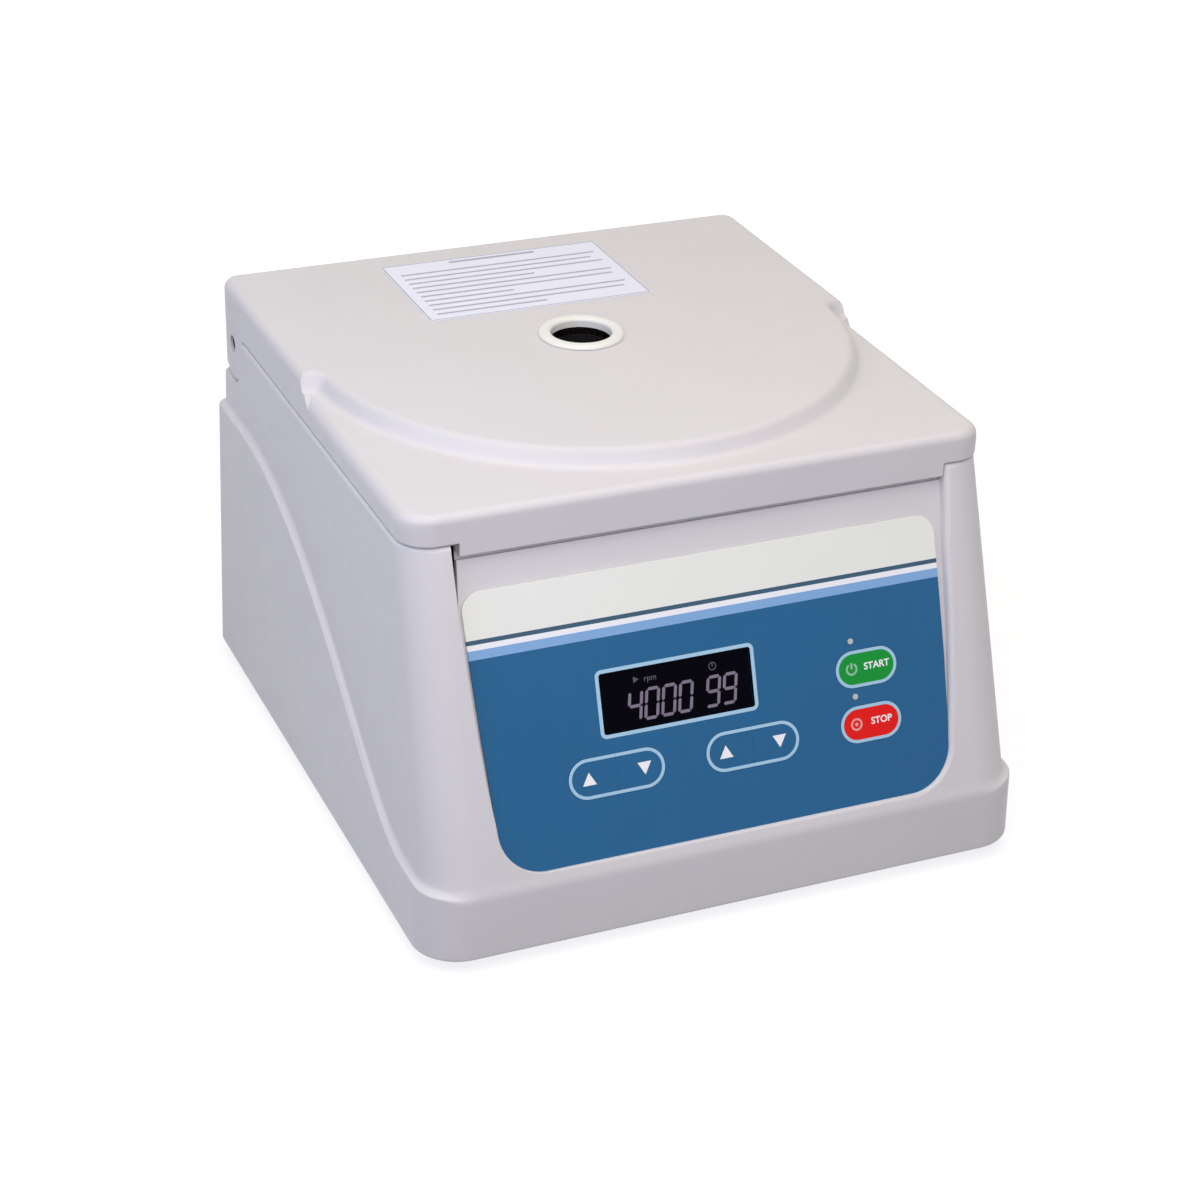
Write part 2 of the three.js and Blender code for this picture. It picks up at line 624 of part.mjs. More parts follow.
function housing() {
  const outside = fuse(
    loft([bodyRing(SHELL_Z + PLINTH_CHAMFER), bodyRing(PLINTH_TOP_Z), bodyRing(DECK_Z)]),
    loft([
      plinthRing(SHELL_Z, PLINTH_CHAMFER),
      plinthRing(SHELL_Z + PLINTH_CHAMFER),
      plinthRing(SEAM_Z),
    ]).intersect(sideways(swooshOutline(), -PLINTH_WIDTH, PLINTH_WIDTH)),
  );
  const cavity = loft([cavityRing(SHELL_Z - OVERRUN), cavityRing(KNEE_Z), cavityRing(DECK_UNDER_Z)]);
  const pocketBack = block(
    [-POCKET_WIDTH / 2 - WALL, pocketFloorY - WALL, pocketZ - POCKET_HEIGHT / 2 - WALL],
    [POCKET_WIDTH / 2 + WALL, BACK_Y, pocketZ + POCKET_HEIGHT / 2 + WALL],
  );
  const room = cut(cavity, hingeStock(), pocketBack);
  const field = ontoPanel(plate([
    ...arc([-FIELD_WIDTH_BOTTOM / 2 + FIELD_CORNER, FIELD_CORNER], FIELD_CORNER, 180, 270),
    ...arc([FIELD_WIDTH_BOTTOM / 2 - FIELD_CORNER, FIELD_CORNER], FIELD_CORNER, 270, 360),
    [FIELD_WIDTH_TOP / 2, FIELD_LENGTH + OVERRUN],
    [-FIELD_WIDTH_TOP / 2, FIELD_LENGTH + OVERRUN],
  ], 0, OVERRUN));
  const hole = rod(BOWL_RADIUS + BOWL_WALL + GAP, [0, ROTOR_Y, DECK_UNDER_Z - OVERRUN],
    [0, ROTOR_Y, DECK_Z + OVERRUN], BOWL_SIDES);
  const bosses = boardCorners().map(([x, y]) => ontoPanel(
    rod(BOSS_RADIUS, [x, y, GAP + BOARD_TOP], [x, y, -WALL / 2])));
  const window = ontoPanel(plate(rectangleAt(displayPlace, DISPLAY_WIDTH, DISPLAY_LENGTH, GAP),
    -WALL - OVERRUN / 2, OVERRUN));
  const stems = keys.map(({ stem: [x, y] }) =>
    ontoPanel(rod(STEM_RADIUS + GAP, [x, y, -WALL - OVERRUN / 2], [x, y, OVERRUN])));
  const lights = leds.map(({ place: [x, y] }) =>
    ontoPanel(rod(LED_RADIUS + GAP, [x, y, -WALL - OVERRUN / 2], [x, y, OVERRUN])));
  const pins = bothSides((sign) => rod(PIN_RADIUS + GAP,
    [sign * (EAR_INNER_X - PIN_IN_BODY - GAP), HINGE_Y, HINGE_Z], [sign * LID_WIDTH, HINGE_Y, HINGE_Z]));
  const moulding = fuse(cut(outside, room, field), ...bosses);
  return cut(
    moulding, hole, slotTool(), window, ...stems, ...lights, ...pins, ...hingeCuts(), ...rearCuts());
}

function boardCorners() {
  const [x, y] = boardPlace;
  const across = BOARD_WIDTH / 2 - BOSS_RADIUS;
  const up = BOARD_LENGTH / 2 - BOSS_RADIUS;
  return [[-1, -1], [1, -1], [1, 1], [-1, 1]].map(([i, j]) => [x + i * across, y + j * up]);
}

function rearCuts() {
  const pocket = block(
    [-POCKET_WIDTH / 2, pocketFloorY, pocketZ - POCKET_HEIGHT / 2],
    [POCKET_WIDTH / 2, BACK_Y + OVERRUN, pocketZ + POCKET_HEIGHT / 2],
  );
  const through = (x, width, height) => block(
    [x - width / 2 - GAP, pocketFloorY - WALL - OVERRUN, pocketZ - height / 2 - GAP],
    [x + width / 2 + GAP, BACK_Y + OVERRUN, pocketZ + height / 2 + GAP],
  );
  const vents = Array.from({ length: VENTS }, (_, i) => {
    const x = (i - (VENTS - 1) / 2) * VENT_PITCH;
    return block(
      [x - VENT_WIDTH / 2, BACK_Y - OVERRUN, SHELL_Z + VENT_MIDDLE - VENT_HEIGHT / 2],
      [x + VENT_WIDTH / 2, BACK_Y + OVERRUN, SHELL_Z + VENT_MIDDLE + VENT_HEIGHT / 2],
    );
  });
  return [
    pocket,
    through(-INLET_SIDE, INLET_WIDTH, INLET_HEIGHT),
    through(INLET_SIDE, BEZEL_WIDTH, BEZEL_HEIGHT),
    ...vents,
  ];
}

function basePlate() {
  const ring = cavityRing(SHELL_Z).points;
  const outline = roundedPoints(
    ring[CORNER_STEPS][0] - GAP, FRONT_Y + WALL + GAP, BACK_Y - BACK_STEP - WALL - GAP,
    BODY_TOP_RADIUS - WALL, BACK_RADIUS - WALL);
  const holes = footPlaces.map(([x, y]) => circlePoints(x, y, SCREW_RADIUS + GAP));
  const studs = powerBoardCorners().map(([x, y]) =>
    rod(STUD_RADIUS, [x, y, BASE_Z + BASE_THICK / 2], [x, y, BASE_TOP_Z + STUD_HEIGHT]));
  return fuse(plate(outline, BASE_Z, BASE_TOP_Z, holes), ...studs);
}

const foot = () => {
  const bore = SCREW_RADIUS + GAP;
  const sink = SCREW_HEAD_RADIUS + GAP;
  const top = BASE_Z - GAP;
  return turned([
    [sink, 0], [FOOT_RADIUS - FOOT_CHAMFER, 0], [FOOT_RADIUS, FOOT_CHAMFER],
    [FOOT_TOP_RADIUS, top], [bore, top], [bore, FOOT_SEAT], [sink, FOOT_SEAT],
  ]);
};

// A pan-headed screw standing on its head's underside at height 0, with its shank up
const screw = (length) => fuse(
  turned([
    [0, -SCREW_HEAD_THICK], [SCREW_HEAD_RADIUS * SCREW_HEAD_FACE_SHARE, -SCREW_HEAD_THICK],
    [SCREW_HEAD_RADIUS, -SCREW_HEAD_THICK / 2], [SCREW_HEAD_RADIUS, 0], [0, 0],
  ], SMALL_SIDES),
  rod(SCREW_RADIUS, [0, 0, -SCREW_HEAD_THICK / 2], [0, 0, length]),
);

// The bowl hangs in the deck's hole by its flange
function bowl() {
  const bend = [BOWL_RADIUS - BOWL_CORNER, BOWL_FLOOR_Z + BOWL_CORNER];
  const flangeRadius = BOWL_RADIUS + FLANGE_WIDTH;
  return turned([
    [BOWL_RADIUS + BOWL_WALL, FLANGE_Z], [flangeRadius, FLANGE_Z], [flangeRadius, FLANGE_TOP_Z],
    [BOWL_RADIUS, FLANGE_TOP_Z],
    ...arc(bend, BOWL_CORNER, 0, -90, BEND_STEPS),
    [SHAFT_HOLE_RADIUS, BOWL_FLOOR_Z], [SHAFT_HOLE_RADIUS, BOWL_FLOOR_Z - BOWL_WALL],
    ...arc(bend, BOWL_CORNER + BOWL_WALL, -90, 0, BEND_STEPS),
  ], BOWL_SIDES);
}

const gasket = () => {
  const inner = BOWL_RADIUS + GASKET_INSET;
  const outer = BOWL_RADIUS + FLANGE_WIDTH - GASKET_INSET;
  const bottom = FLANGE_TOP_Z + GAP;
  const top = LINER_Z - GAP;
  return turned([[inner, bottom], [outer, bottom], [outer, top], [inner, top]], BOWL_SIDES);
};

const motorBracket = () => turned([
  [SHAFT_HOLE_RADIUS, BRACKET_Z], [BRACKET_RADIUS, BRACKET_Z],
  [BRACKET_RADIUS, BRACKET_Z + BRACKET_THICK], [SHAFT_HOLE_RADIUS, BRACKET_Z + BRACKET_THICK],
]);

const damper = () => {
  const bottom = BASE_TOP_Z + GAP;
  const top = BRACKET_Z - GAP;
  const middle = (bottom + top) / 2;
  return turned([
    [0, bottom], [DAMPER_RADIUS, bottom], [DAMPER_WAIST, middle], [DAMPER_RADIUS, top], [0, top],
  ], SMALL_SIDES);
};

const motor = () => {
  const bore = SHAFT_RADIUS + MOVING_GAP;
  return turned([
    [0, MOTOR_Z], [MOTOR_RADIUS, MOTOR_Z], [MOTOR_RADIUS, MOTOR_TOP_Z - MOTOR_CHAMFER],
    [MOTOR_RADIUS - MOTOR_CHAMFER, MOTOR_TOP_Z], [bore, MOTOR_TOP_Z],
    [bore, MOTOR_BORE_Z], [0, MOTOR_BORE_Z],
  ]);
};

// Rotor pieces, with height 0 where a sleeve's axis meets the crown's funnel
const funnel = (radius) => (radius - MOUTH_RADIUS) * Math.tan(SLEEVE_TILT);
const HUB_TOP = funnel(HUB_RADIUS) + HUB_RISE;

function crown() {
  const bore = SHAFT_RADIUS + GAP;
  const thick = CROWN_THICK / Math.cos(SLEEVE_TILT);
  const blank = turned([
    [bore, HUB_TOP - HUB_LENGTH], [HUB_RADIUS, HUB_TOP - HUB_LENGTH],
    [HUB_RADIUS, funnel(HUB_RADIUS) - thick], [CROWN_RADIUS, funnel(CROWN_RADIUS) - thick],
    [CROWN_RADIUS, funnel(CROWN_RADIUS)], [HUB_RADIUS, funnel(HUB_RADIUS)],
    [HUB_RADIUS, HUB_TOP], [bore, HUB_TOP],
  ], CROWN_SIDES);
  const bores = Array.from({ length: SLEEVES }, (_, i) => {
    const around = 2 * Math.PI * i / SLEEVES;
    const at = (along) => {
      const radius = MOUTH_RADIUS - along * Math.sin(SLEEVE_TILT);
      return [radius * Math.cos(around), radius * Math.sin(around), along * Math.cos(SLEEVE_TILT)];
    };
    const seat = rod(COLLAR_RADIUS + GAP, at(0), at(CROWN_THICK), ROUND_SIDES);
    return fuse(rod(SLEEVE_RADIUS + GAP, at(-CROWN_THICK - OVERRUN), at(CROWN_THICK), ROUND_SIDES), seat);
  });
  return cut(blank, ...bores);
}

const shaft = () => rod(
  SHAFT_RADIUS,
  [0, 0, MOTOR_BORE_Z + MOVING_GAP - MOUTH_Z],
  [0, 0, HUB_TOP + GAP + NUT_HEIGHT + SHAFT_PROUD],
);

const nut = () => turned([
  [SHAFT_RADIUS + GAP, HUB_TOP + GAP], [NUT_RADIUS, HUB_TOP + GAP],
  [NUT_RADIUS, HUB_TOP + GAP + NUT_HEIGHT], [SHAFT_RADIUS + GAP, HUB_TOP + GAP + NUT_HEIGHT],
], SMALL_SIDES);

// A round-bottomed sleeve along its own axis, with height 0 on the crown
function sleeve() {
  const bend = SLEEVE_RADIUS - SLEEVE_LENGTH;
  const bore = SLEEVE_RADIUS - SLEEVE_WALL;
  const top = GAP + COLLAR_THICK;
  return turned([
    ...arc([0, bend], SLEEVE_RADIUS, -90, 0, BEND_STEPS),
    [SLEEVE_RADIUS, GAP], [COLLAR_RADIUS, GAP], [COLLAR_RADIUS, top], [bore, top],
    ...arc([0, bend], bore, 0, -90, BEND_STEPS),
  ], SMALL_SIDES);
}

// The lid's outline at a height, drawn in along the rounded top edge
function lidRings(bottom, top, inset = 0) {
  const radius = Math.max(LID_EDGE_RADIUS - inset, WALL);
  const ring = (z, drawnIn) => ({
    z,
    points: roundedPoints(
      LID_WIDTH / 2 - drawnIn, LID_FRONT_Y + drawnIn, BACK_Y - drawnIn,
      LID_FRONT_RADIUS - drawnIn, BACK_RADIUS - drawnIn),
  });
  const rounding = arc([radius, top - radius], radius, 180, 90, EDGE_STEPS)
    .map(([drawnIn, z]) => ring(z, inset + drawnIn));
  return [ring(bottom, inset), ...rounding];
}

const lidColumn = (bottom, top, inset) => loft([bottom, top].map((z) => ({
  z,
  points: lidRings(bottom, top, inset)[0].points,
})));

const lidBlank = (bottom, inset) => {
  const deck = loft(lidRings(bottom, LID_DECK_Z - inset, inset));
  const rear = loft(lidRings(bottom, LID_TOP_Z - inset, inset)).intersect(block(
    [-LID_WIDTH, BACK_Y - REAR_FIELD_DEPTH + inset, bottom - OVERRUN],
    [LID_WIDTH, BACK_Y + OVERRUN, LID_TOP_Z + OVERRUN],
  ));
  const foot = ROUND_FIELD_FOOT_RADIUS - inset;
  const round = turned([
    [0, bottom], [foot - OVERRUN, bottom], [foot, LID_DECK_Z - inset],
    [ROUND_FIELD_TOP_RADIUS - inset, LID_TOP_Z - inset], [0, LID_TOP_Z - inset],
  ], FIELD_SIDES).translate([0, ROTOR_Y, 0]).intersect(block(
    [-LID_WIDTH, LID_FRONT_Y, bottom - OVERRUN],
    [LID_WIDTH, BACK_Y - REAR_FIELD_DEPTH + OVERRUN, LID_TOP_Z + OVERRUN],
  ));
  return fuse(deck, rear, round);
};

function lidShell() {
  const column = lidColumn(SHELL_Z, LID_DECK_Z, 0);
  const ears = bothSides((sign) => {
    const ends = [sign * EAR_INNER_X, sign * LID_WIDTH / 2].sort((a, b) => a - b);
    const barrel = rod(EAR_RADIUS, [ends[0], HINGE_Y, HINGE_Z], [ends[1], HINGE_Y, HINGE_Z], ROUND_SIDES);
    const heel = block([ends[0], HINGE_Y, HINGE_Z], [ends[1], BACK_Y, SEAM_Z + WALL]);
    return fuse(barrel, heel).intersect(column);
  });
  const rearWall = block(
    [-EAR_INNER_X - WALL, BACK_Y - WALL, HINGE_Z], [EAR_INNER_X + WALL, BACK_Y, SEAM_Z + WALL]);
  const skirtHalf = FIELD_WIDTH_TOP / 2 - GAP;
  const skirt = block(
    [-skirtHalf, LID_FRONT_Y, SKIRT_Z], [skirtHalf, LID_FRONT_Y + WALL, SEAM_Z + WALL]);
  const bosses = linerScrews.map(([x, y]) => {
    const roof = y > ROTOR_Y ? LID_TOP_Z : LID_DECK_Z;
    return rod(BOSS_RADIUS, [x, y, LINER_TOP_Z + GAP], [x, y, roof - WALL / 2]);
  });
  const bores = linerScrews.map(([x, y]) =>
    rod(SCREW_RADIUS + GAP, [x, y, LINER_Z], [x, y, LINER_TOP_Z + GAP + SCREW_BITE + GAP]));
  const sight = rod(
    RING_NECK_RADIUS + GAP, [0, ROTOR_Y, SEAM_Z], [0, ROTOR_Y, LID_TOP_Z + OVERRUN], ROUND_SIDES);
  const pins = bothSides((sign) => rod(
    PIN_RADIUS + GAP, [0, HINGE_Y, HINGE_Z], [sign * LID_WIDTH, HINGE_Y, HINGE_Z]));
  const shell = fuse(
    cut(lidBlank(SEAM_Z, 0), lidBlank(SEAM_Z - OVERRUN, WALL)), rearWall, skirt, ...ears, ...bosses);
  return cut(shell, sight, ...bores, ...pins);
}

const liner = () => plate(
  roundedPoints(LINER_HALF, LINER_FRONT_Y, LINER_BACK_Y, LID_FRONT_RADIUS - WALL),
  LINER_Z, LINER_TOP_Z,
  [
    circlePoints(0, ROTOR_Y, RING_NECK_RADIUS + GAP, ROUND_SIDES),
    ...linerScrews.map(([x, y]) => circlePoints(x, y, SCREW_RADIUS + GAP)),
  ],
);

function sightRing() {
  const bead = RING_RISE / 3;
  const rim = (RING_OUTER_RADIUS - RING_INNER_RADIUS) / 4;
  return turned([
    [RING_INNER_RADIUS - RING_LEDGE, LINER_Z], [RING_NECK_RADIUS, LINER_Z],
    [RING_NECK_RADIUS, LID_TOP_Z + GAP], [RING_OUTER_RADIUS, LID_TOP_Z + GAP],
    [RING_OUTER_RADIUS, LID_TOP_Z + bead], [RING_OUTER_RADIUS - rim, LID_TOP_Z + RING_RISE],
    [RING_INNER_RADIUS + rim, LID_TOP_Z + RING_RISE], [RING_INNER_RADIUS, LID_TOP_Z + RING_RISE - bead],
    [RING_INNER_RADIUS, LINER_TOP_Z], [RING_INNER_RADIUS - RING_LEDGE, LINER_TOP_Z],
  ], RING_SIDES);
}

const lens = () => rod(
  RING_INNER_RADIUS - GAP, [0, 0, LINER_TOP_Z + GAP], [0, 0, LINER_TOP_Z + GAP + LENS_THICK], ROUND_SIDES);

const label = () => {
  const middle = ROTOR_Y + LABEL_BEHIND_ROTOR;
  return block(
    [-LABEL_SIDE - LABEL_WIDTH / 2, middle - LABEL_DEPTH / 2, LID_TOP_Z + LABEL_GAP],
    [-LABEL_SIDE + LABEL_WIDTH / 2, middle + LABEL_DEPTH / 2, LID_TOP_Z + LABEL_GAP + LABEL_THICK],
  );
};

// The striker's tongue hangs through the deck, and the bolt slides across into its window
const STRIKER_TOP_Z = LINER_Z - GAP;
const TONGUE_Z = STRIKER_TOP_Z - STRIKER_THICK - TONGUE_DROP;
const BOLT_Z = TONGUE_Z + TONGUE_RIM + TONGUE_WINDOW / 2;
const LATCH_Y = LID_FRONT_Y + LATCH_FROM_LID_FRONT;
const BOLT_TIP_X = TONGUE_THICK / 2 + BOLT_CLEAR;
const SLOT_HALF = TONGUE_THICK / 2 + SLOT_CLEAR;
const SOLENOID_X = SLOT_HALF + GUIDE_WIDTH + SOLENOID_GAP;
const FRAME_TOP_Z = DECK_UNDER_Z - GAP;
const FRAME_Z = FRAME_TOP_Z - FRAME_THICK;

const striker = () => {
  const half = TONGUE_DEPTH / 2;
  const foot = block(
    [-STRIKER_FOOT_WIDTH / 2, LATCH_Y - half, STRIKER_TOP_Z - STRIKER_THICK],
    [STRIKER_FOOT_WIDTH / 2, LATCH_Y + half, STRIKER_TOP_Z],
  );
  const tongue = block(
    [-TONGUE_THICK / 2, LATCH_Y - half, TONGUE_Z],
    [TONGUE_THICK / 2, LATCH_Y + half, STRIKER_TOP_Z - STRIKER_THICK / 2],
  );
  const window = block(
    [-OVERRUN, LATCH_Y - TONGUE_WINDOW / 2, TONGUE_Z + TONGUE_RIM],
    [OVERRUN, LATCH_Y + TONGUE_WINDOW / 2, TONGUE_Z + TONGUE_RIM + TONGUE_WINDOW],
  );
  return cut(fuse(foot, tongue), window);
};

const slotTool = () => block(
  [-SLOT_HALF, LATCH_Y - TONGUE_DEPTH / 2 - SLOT_CLEAR, FRAME_Z - OVERRUN],
  [SLOT_HALF, LATCH_Y + TONGUE_DEPTH / 2 + SLOT_CLEAR, DECK_Z + OVERRUN],
);

const latchFrame = () => {
  const half = TONGUE_DEPTH / 2 + SLOT_CLEAR + FRAME_RIM;
  const top = block(
    [-SLOT_HALF - LID_SWITCH_WIDTH - FRAME_RIM, LATCH_Y - half, FRAME_Z],
    [SLOT_HALF + GUIDE_WIDTH, LATCH_Y + half, FRAME_TOP_Z],
  );
  const guide = block(
    [SLOT_HALF, LATCH_Y - GUIDE_WIDTH / 2, BOLT_Z - GUIDE_WIDTH / 2],
    [SLOT_HALF + GUIDE_WIDTH, LATCH_Y + GUIDE_WIDTH / 2, FRAME_Z + FRAME_THICK / 2],
  );
  const bore = rod(BOLT_RADIUS + GAP, [0, LATCH_Y, BOLT_Z], [SOLENOID_X + OVERRUN, LATCH_Y, BOLT_Z]);
  return cut(fuse(top, guide), slotTool(), bore);
};

const latchBolt = () => rod(
  BOLT_RADIUS, [BOLT_TIP_X, LATCH_Y, BOLT_Z], [BOLT_TIP_X + BOLT_LENGTH, LATCH_Y, BOLT_Z]);

const solenoid = () => {
  const radius = FRAME_TOP_Z - BOLT_Z;
  const end = BOLT_TIP_X + BOLT_LENGTH + MOVING_GAP;
  return cut(
    rod(radius, [SOLENOID_X, LATCH_Y, BOLT_Z], [end + WALL, LATCH_Y, BOLT_Z], ROUND_SIDES),
    rod(BOLT_RADIUS + GAP, [SOLENOID_X - OVERRUN, LATCH_Y, BOLT_Z], [end, LATCH_Y, BOLT_Z]),
  );
};

// The switch's lever lies beside the bolt's path
const lidSwitch = () => {
  const right = -SLOT_HALF - MOVING_GAP;
  const top = FRAME_Z - GAP;
  const leverY = LATCH_Y + BOLT_RADIUS + MOVING_GAP;
  return fuse(
    block(
      [right - LID_SWITCH_WIDTH, LATCH_Y - LID_SWITCH_DEPTH / 2, top - LID_SWITCH_HEIGHT],
      [right, LATCH_Y + LID_SWITCH_DEPTH / 2, top],
    ),
    block(
      [right - MOVING_GAP, leverY, top - LEVER_DROP - LEVER_HEIGHT],
      [right + LEVER_REACH, leverY + LEVER_WIDTH, top - LEVER_DROP],
    ),
  );
};

// Pieces of the sloping field, in the panel's frame
const FILM_TOP = GAP + OVERLAY_THICK;
const KEY_TOP = FILM_TOP + KEY_PROUD;
const STEM_END = -WALL - STEM_BEHIND_WALL;
const BOARD_TOP = -WALL - BOARD_DEPTH;

function overlay() {
  const half = overlayWidth / 2;
  const low = OVERLAY_BOTTOM_CORNER;
  const high = OVERLAY_TOP_CORNER;
  const outline = [
    ...arc([half - low, overlayBottom + low], low, -90, 0),
    ...arc([half - high, overlayTop - high], high, 0, 90),
    ...arc([high - half, overlayTop - high], high, 90, 180),
    ...arc([low - half, overlayBottom + low], low, 180, 270),
  ];
  return plate(outline, GAP, FILM_TOP, [
    rectangleAt(displayPlace, DISPLAY_WIDTH, DISPLAY_LENGTH, GAP),
    ...keys.filter(({ half: side }) => side <= 0).map(({ middle, width, length }) =>
      capsule(middle, width, length, GAP)),
    ...leds.map(({ place: [x, y] }) => circlePoints(x, y, LED_RADIUS + GAP)),
  ]);
}

function keyPad({ middle, half, width, length, stem }) {
  const whole = plate(capsule(middle, width, length), KEY_TOP - KEY_THICK, KEY_TOP);
  const [x, y] = middle;
  const cutX = x + half * GAP / 2;
  const farX = cutX - half * width;
  const other = [Math.min(cutX, farX), Math.max(cutX, farX)];
  const pad = half === 0 ? whole : cut(whole, block(
    [other[0], y - length, -OVERRUN], [other[1], y + length, OVERRUN]));
  return fuse(pad, rod(STEM_RADIUS, [...stem, STEM_END], [...stem, KEY_TOP - KEY_THICK / 2]));
}

const led = ([x, y]) => rod(LED_RADIUS, [x, y, BOARD_TOP + GAP], [x, y, FILM_TOP]);
const displayWindow = () =>
  plate(rectangleAt(displayPlace, DISPLAY_WIDTH, DISPLAY_LENGTH), GAP - WALL, FILM_TOP - WINDOW_SUNK);
const displayModule = () => plate(
  rectangleAt(displayPlace, DISPLAY_WIDTH, DISPLAY_LENGTH, DISPLAY_MODULE_MARGIN),
  BOARD_TOP + GAP, -WALL - GAP);

const controlBoard = () => {
  const board = plate(
    rectangleAt(boardPlace, BOARD_WIDTH, BOARD_LENGTH), BOARD_TOP - BOARD_THICK, BOARD_TOP);
  const switches = keys.map(({ stem }) => plate(
    rectangleAt(stem, SWITCH_SIZE, SWITCH_SIZE), BOARD_TOP - BOARD_THICK / 2, STEM_END - KEY_TRAVEL - GAP));
  return fuse(board, ...switches);
};

// Rear pieces
const FLANGE_BACK_Y = pocketFloorY + GAP;
const FLANGE_FACE_Y = FLANGE_BACK_Y + FLANGE_PROUD;

const framed = (x, width, height, length) => fuse(
  block(
    [x - width / 2, FLANGE_FACE_Y - length, pocketZ - height / 2],
    [x + width / 2, FLANGE_FACE_Y, pocketZ + height / 2],
  ),
  block(
    [x - width / 2 - FLANGE_RIM, FLANGE_BACK_Y, pocketZ - height / 2 - FLANGE_RIM],
    [x + width / 2 + FLANGE_RIM, FLANGE_FACE_Y, pocketZ + height / 2 + FLANGE_RIM],
  ),
);

const inlet = () => {
  const socket = block(
    [-INLET_SIDE - SOCKET_WIDTH / 2, FLANGE_FACE_Y - SOCKET_DEPTH, pocketZ - SOCKET_HEIGHT / 2],
    [-INLET_SIDE + SOCKET_WIDTH / 2, FLANGE_FACE_Y + OVERRUN, pocketZ + SOCKET_HEIGHT / 2],
  );
  const blades = [-1, 0, 1].map((place) => {
    const x = -INLET_SIDE + place * SOCKET_WIDTH * PIN_BLADE_PITCH_SHARE;
    const z = pocketZ - PIN_BLADE_HEIGHT / 2 + (place === 0 ? PIN_BLADE : 0);
    const root = FLANGE_FACE_Y - SOCKET_DEPTH;
    return block(
      [x - PIN_BLADE / 2, root - PIN_BLADE, z - PIN_BLADE_HEIGHT / 2],
      [x + PIN_BLADE / 2, root + PIN_BLADE_LENGTH, z + PIN_BLADE_HEIGHT / 2],
    );
  });
  return fuse(cut(framed(-INLET_SIDE, INLET_WIDTH, INLET_HEIGHT, INLET_LENGTH), socket), ...blades);
};

const bezel = () => cut(
  framed(INLET_SIDE, BEZEL_WIDTH, BEZEL_HEIGHT, BEZEL_LENGTH),
  block(
    [INLET_SIDE - ROCKER_ROOM / 2, FLANGE_FACE_Y - BEZEL_LENGTH + BEZEL_WALL, pocketZ - ROCKER_SPAN / 2],
    [INLET_SIDE + ROCKER_ROOM / 2, FLANGE_FACE_Y + OVERRUN, pocketZ + ROCKER_SPAN / 2],
  ),
);

// The rocker about its pivot, tilted to its off side
const rocker = () => {
  const face = ROCKER_PIVOT_DEPTH + ROCKER_PROUD;
  const half = ROCKER_SPAN / 2 - ROCKER_END_GAP;
  const taperedHalf = half - ROCKER_TAPER;
  const outline = [
    [face, -half], [face, half], [0, taperedHalf],
    ...arc([0, 0], ROCKER_BACK_RADIUS, 90, 270),
    [0, -taperedHalf],
  ];
  return sideways(outline, GAP - ROCKER_ROOM / 2, ROCKER_ROOM / 2 - GAP);
};

function powerBoardCorners() {
  const across = POWER_BOARD_WIDTH / 2 - BOSS_RADIUS;
  const deep = POWER_BOARD_DEPTH / 2 - BOSS_RADIUS;
  return [[-1, -1], [1, -1], [1, 1], [-1, 1]].map(([i, j]) => [POWER_BOARD_X + i * across, j * deep]);
}

const powerBoard = () => {
  const bottom = BASE_TOP_Z + STUD_HEIGHT + GAP;
  const top = bottom + BOARD_THICK;
  const board = block(
    [POWER_BOARD_X - POWER_BOARD_WIDTH / 2, -POWER_BOARD_DEPTH / 2, bottom],
    [POWER_BOARD_X + POWER_BOARD_WIDTH / 2, POWER_BOARD_DEPTH / 2, top],
  );
  const coil = block(
    [POWER_BOARD_X - COIL_SIZE, -COIL_DEPTH / 2, top - BOARD_THICK / 2],
    [POWER_BOARD_X, COIL_DEPTH / 2, top + COIL_SIZE],
  );
  const can = rod(
    CAN_RADIUS, [POWER_BOARD_X + CAN_RADIUS * 2, 0, top - BOARD_THICK / 2],
    [POWER_BOARD_X + CAN_RADIUS * 2, 0, top + CAN_RADIUS * 2]);
  return fuse(board, coil, can);
};

// The assembly: fixed pieces, the panel, the chamber with its rotor, and the lid hung from its hinge axis
const machine = new THREE.Group();
const chamber = new THREE.Group();
chamber.position.set(0, ROTOR_Y, 0);
const spindle = new THREE.Group();
spindle.position.set(0, 0, MOUTH_Z);
chamber.add(spindle);
const lid = new THREE.Group();
lid.position.set(0, HINGE_Y, HINGE_Z);
const lidPieces = new THREE.Group();
lidPieces.position.set(0, -HINGE_Y, -HINGE_Z);
lid.add(lidPieces);
machine.add(panel, chamber, lid);

named('housing_shell', housing(), shellPlastic(), machine);
named('base_plate', basePlate(), brushedSteel(), machine);
footPlaces.forEach(([x, y], i) => {
  named(`foot_${i + 1}`, foot(), rubber(), machine).position.set(x, y, 0);
  named(`foot_screw_${i + 1}`, screw(BASE_TOP_Z - FOOT_SEAT + SCREW_BITE), brushedSteel(), machine)
    .position.set(x, y, FOOT_SEAT - GAP);
});
bothSides((sign) => named(
  sign < 0 ? 'hinge_pin_left' : 'hinge_pin_right',
  rod(PIN_RADIUS, [sign * (EAR_INNER_X - PIN_IN_BODY), 0, 0], [sign * (LID_WIDTH / 2 - PIN_SUNK), 0, 0]),
  brushedSteel(), machine).position.set(0, HINGE_Y, HINGE_Z));

named('chamber_bowl', bowl(), brushedSteel(), chamber);
named('chamber_gasket', gasket(), rubber(), chamber);
named('motor_bracket', motorBracket(), brushedSteel(), chamber);
named('motor_housing', motor(), blackPlastic(), chamber);
for (let i = 0; i < DAMPERS; i++) {
  const around = 2 * Math.PI * (i + 1 / 4) / DAMPERS;
  const reach = BRACKET_RADIUS - DAMPER_RADIUS;
  named(`damper_${i + 1}`, damper(), rubber(), chamber)
    .position.set(reach * Math.cos(around), reach * Math.sin(around), 0);
}

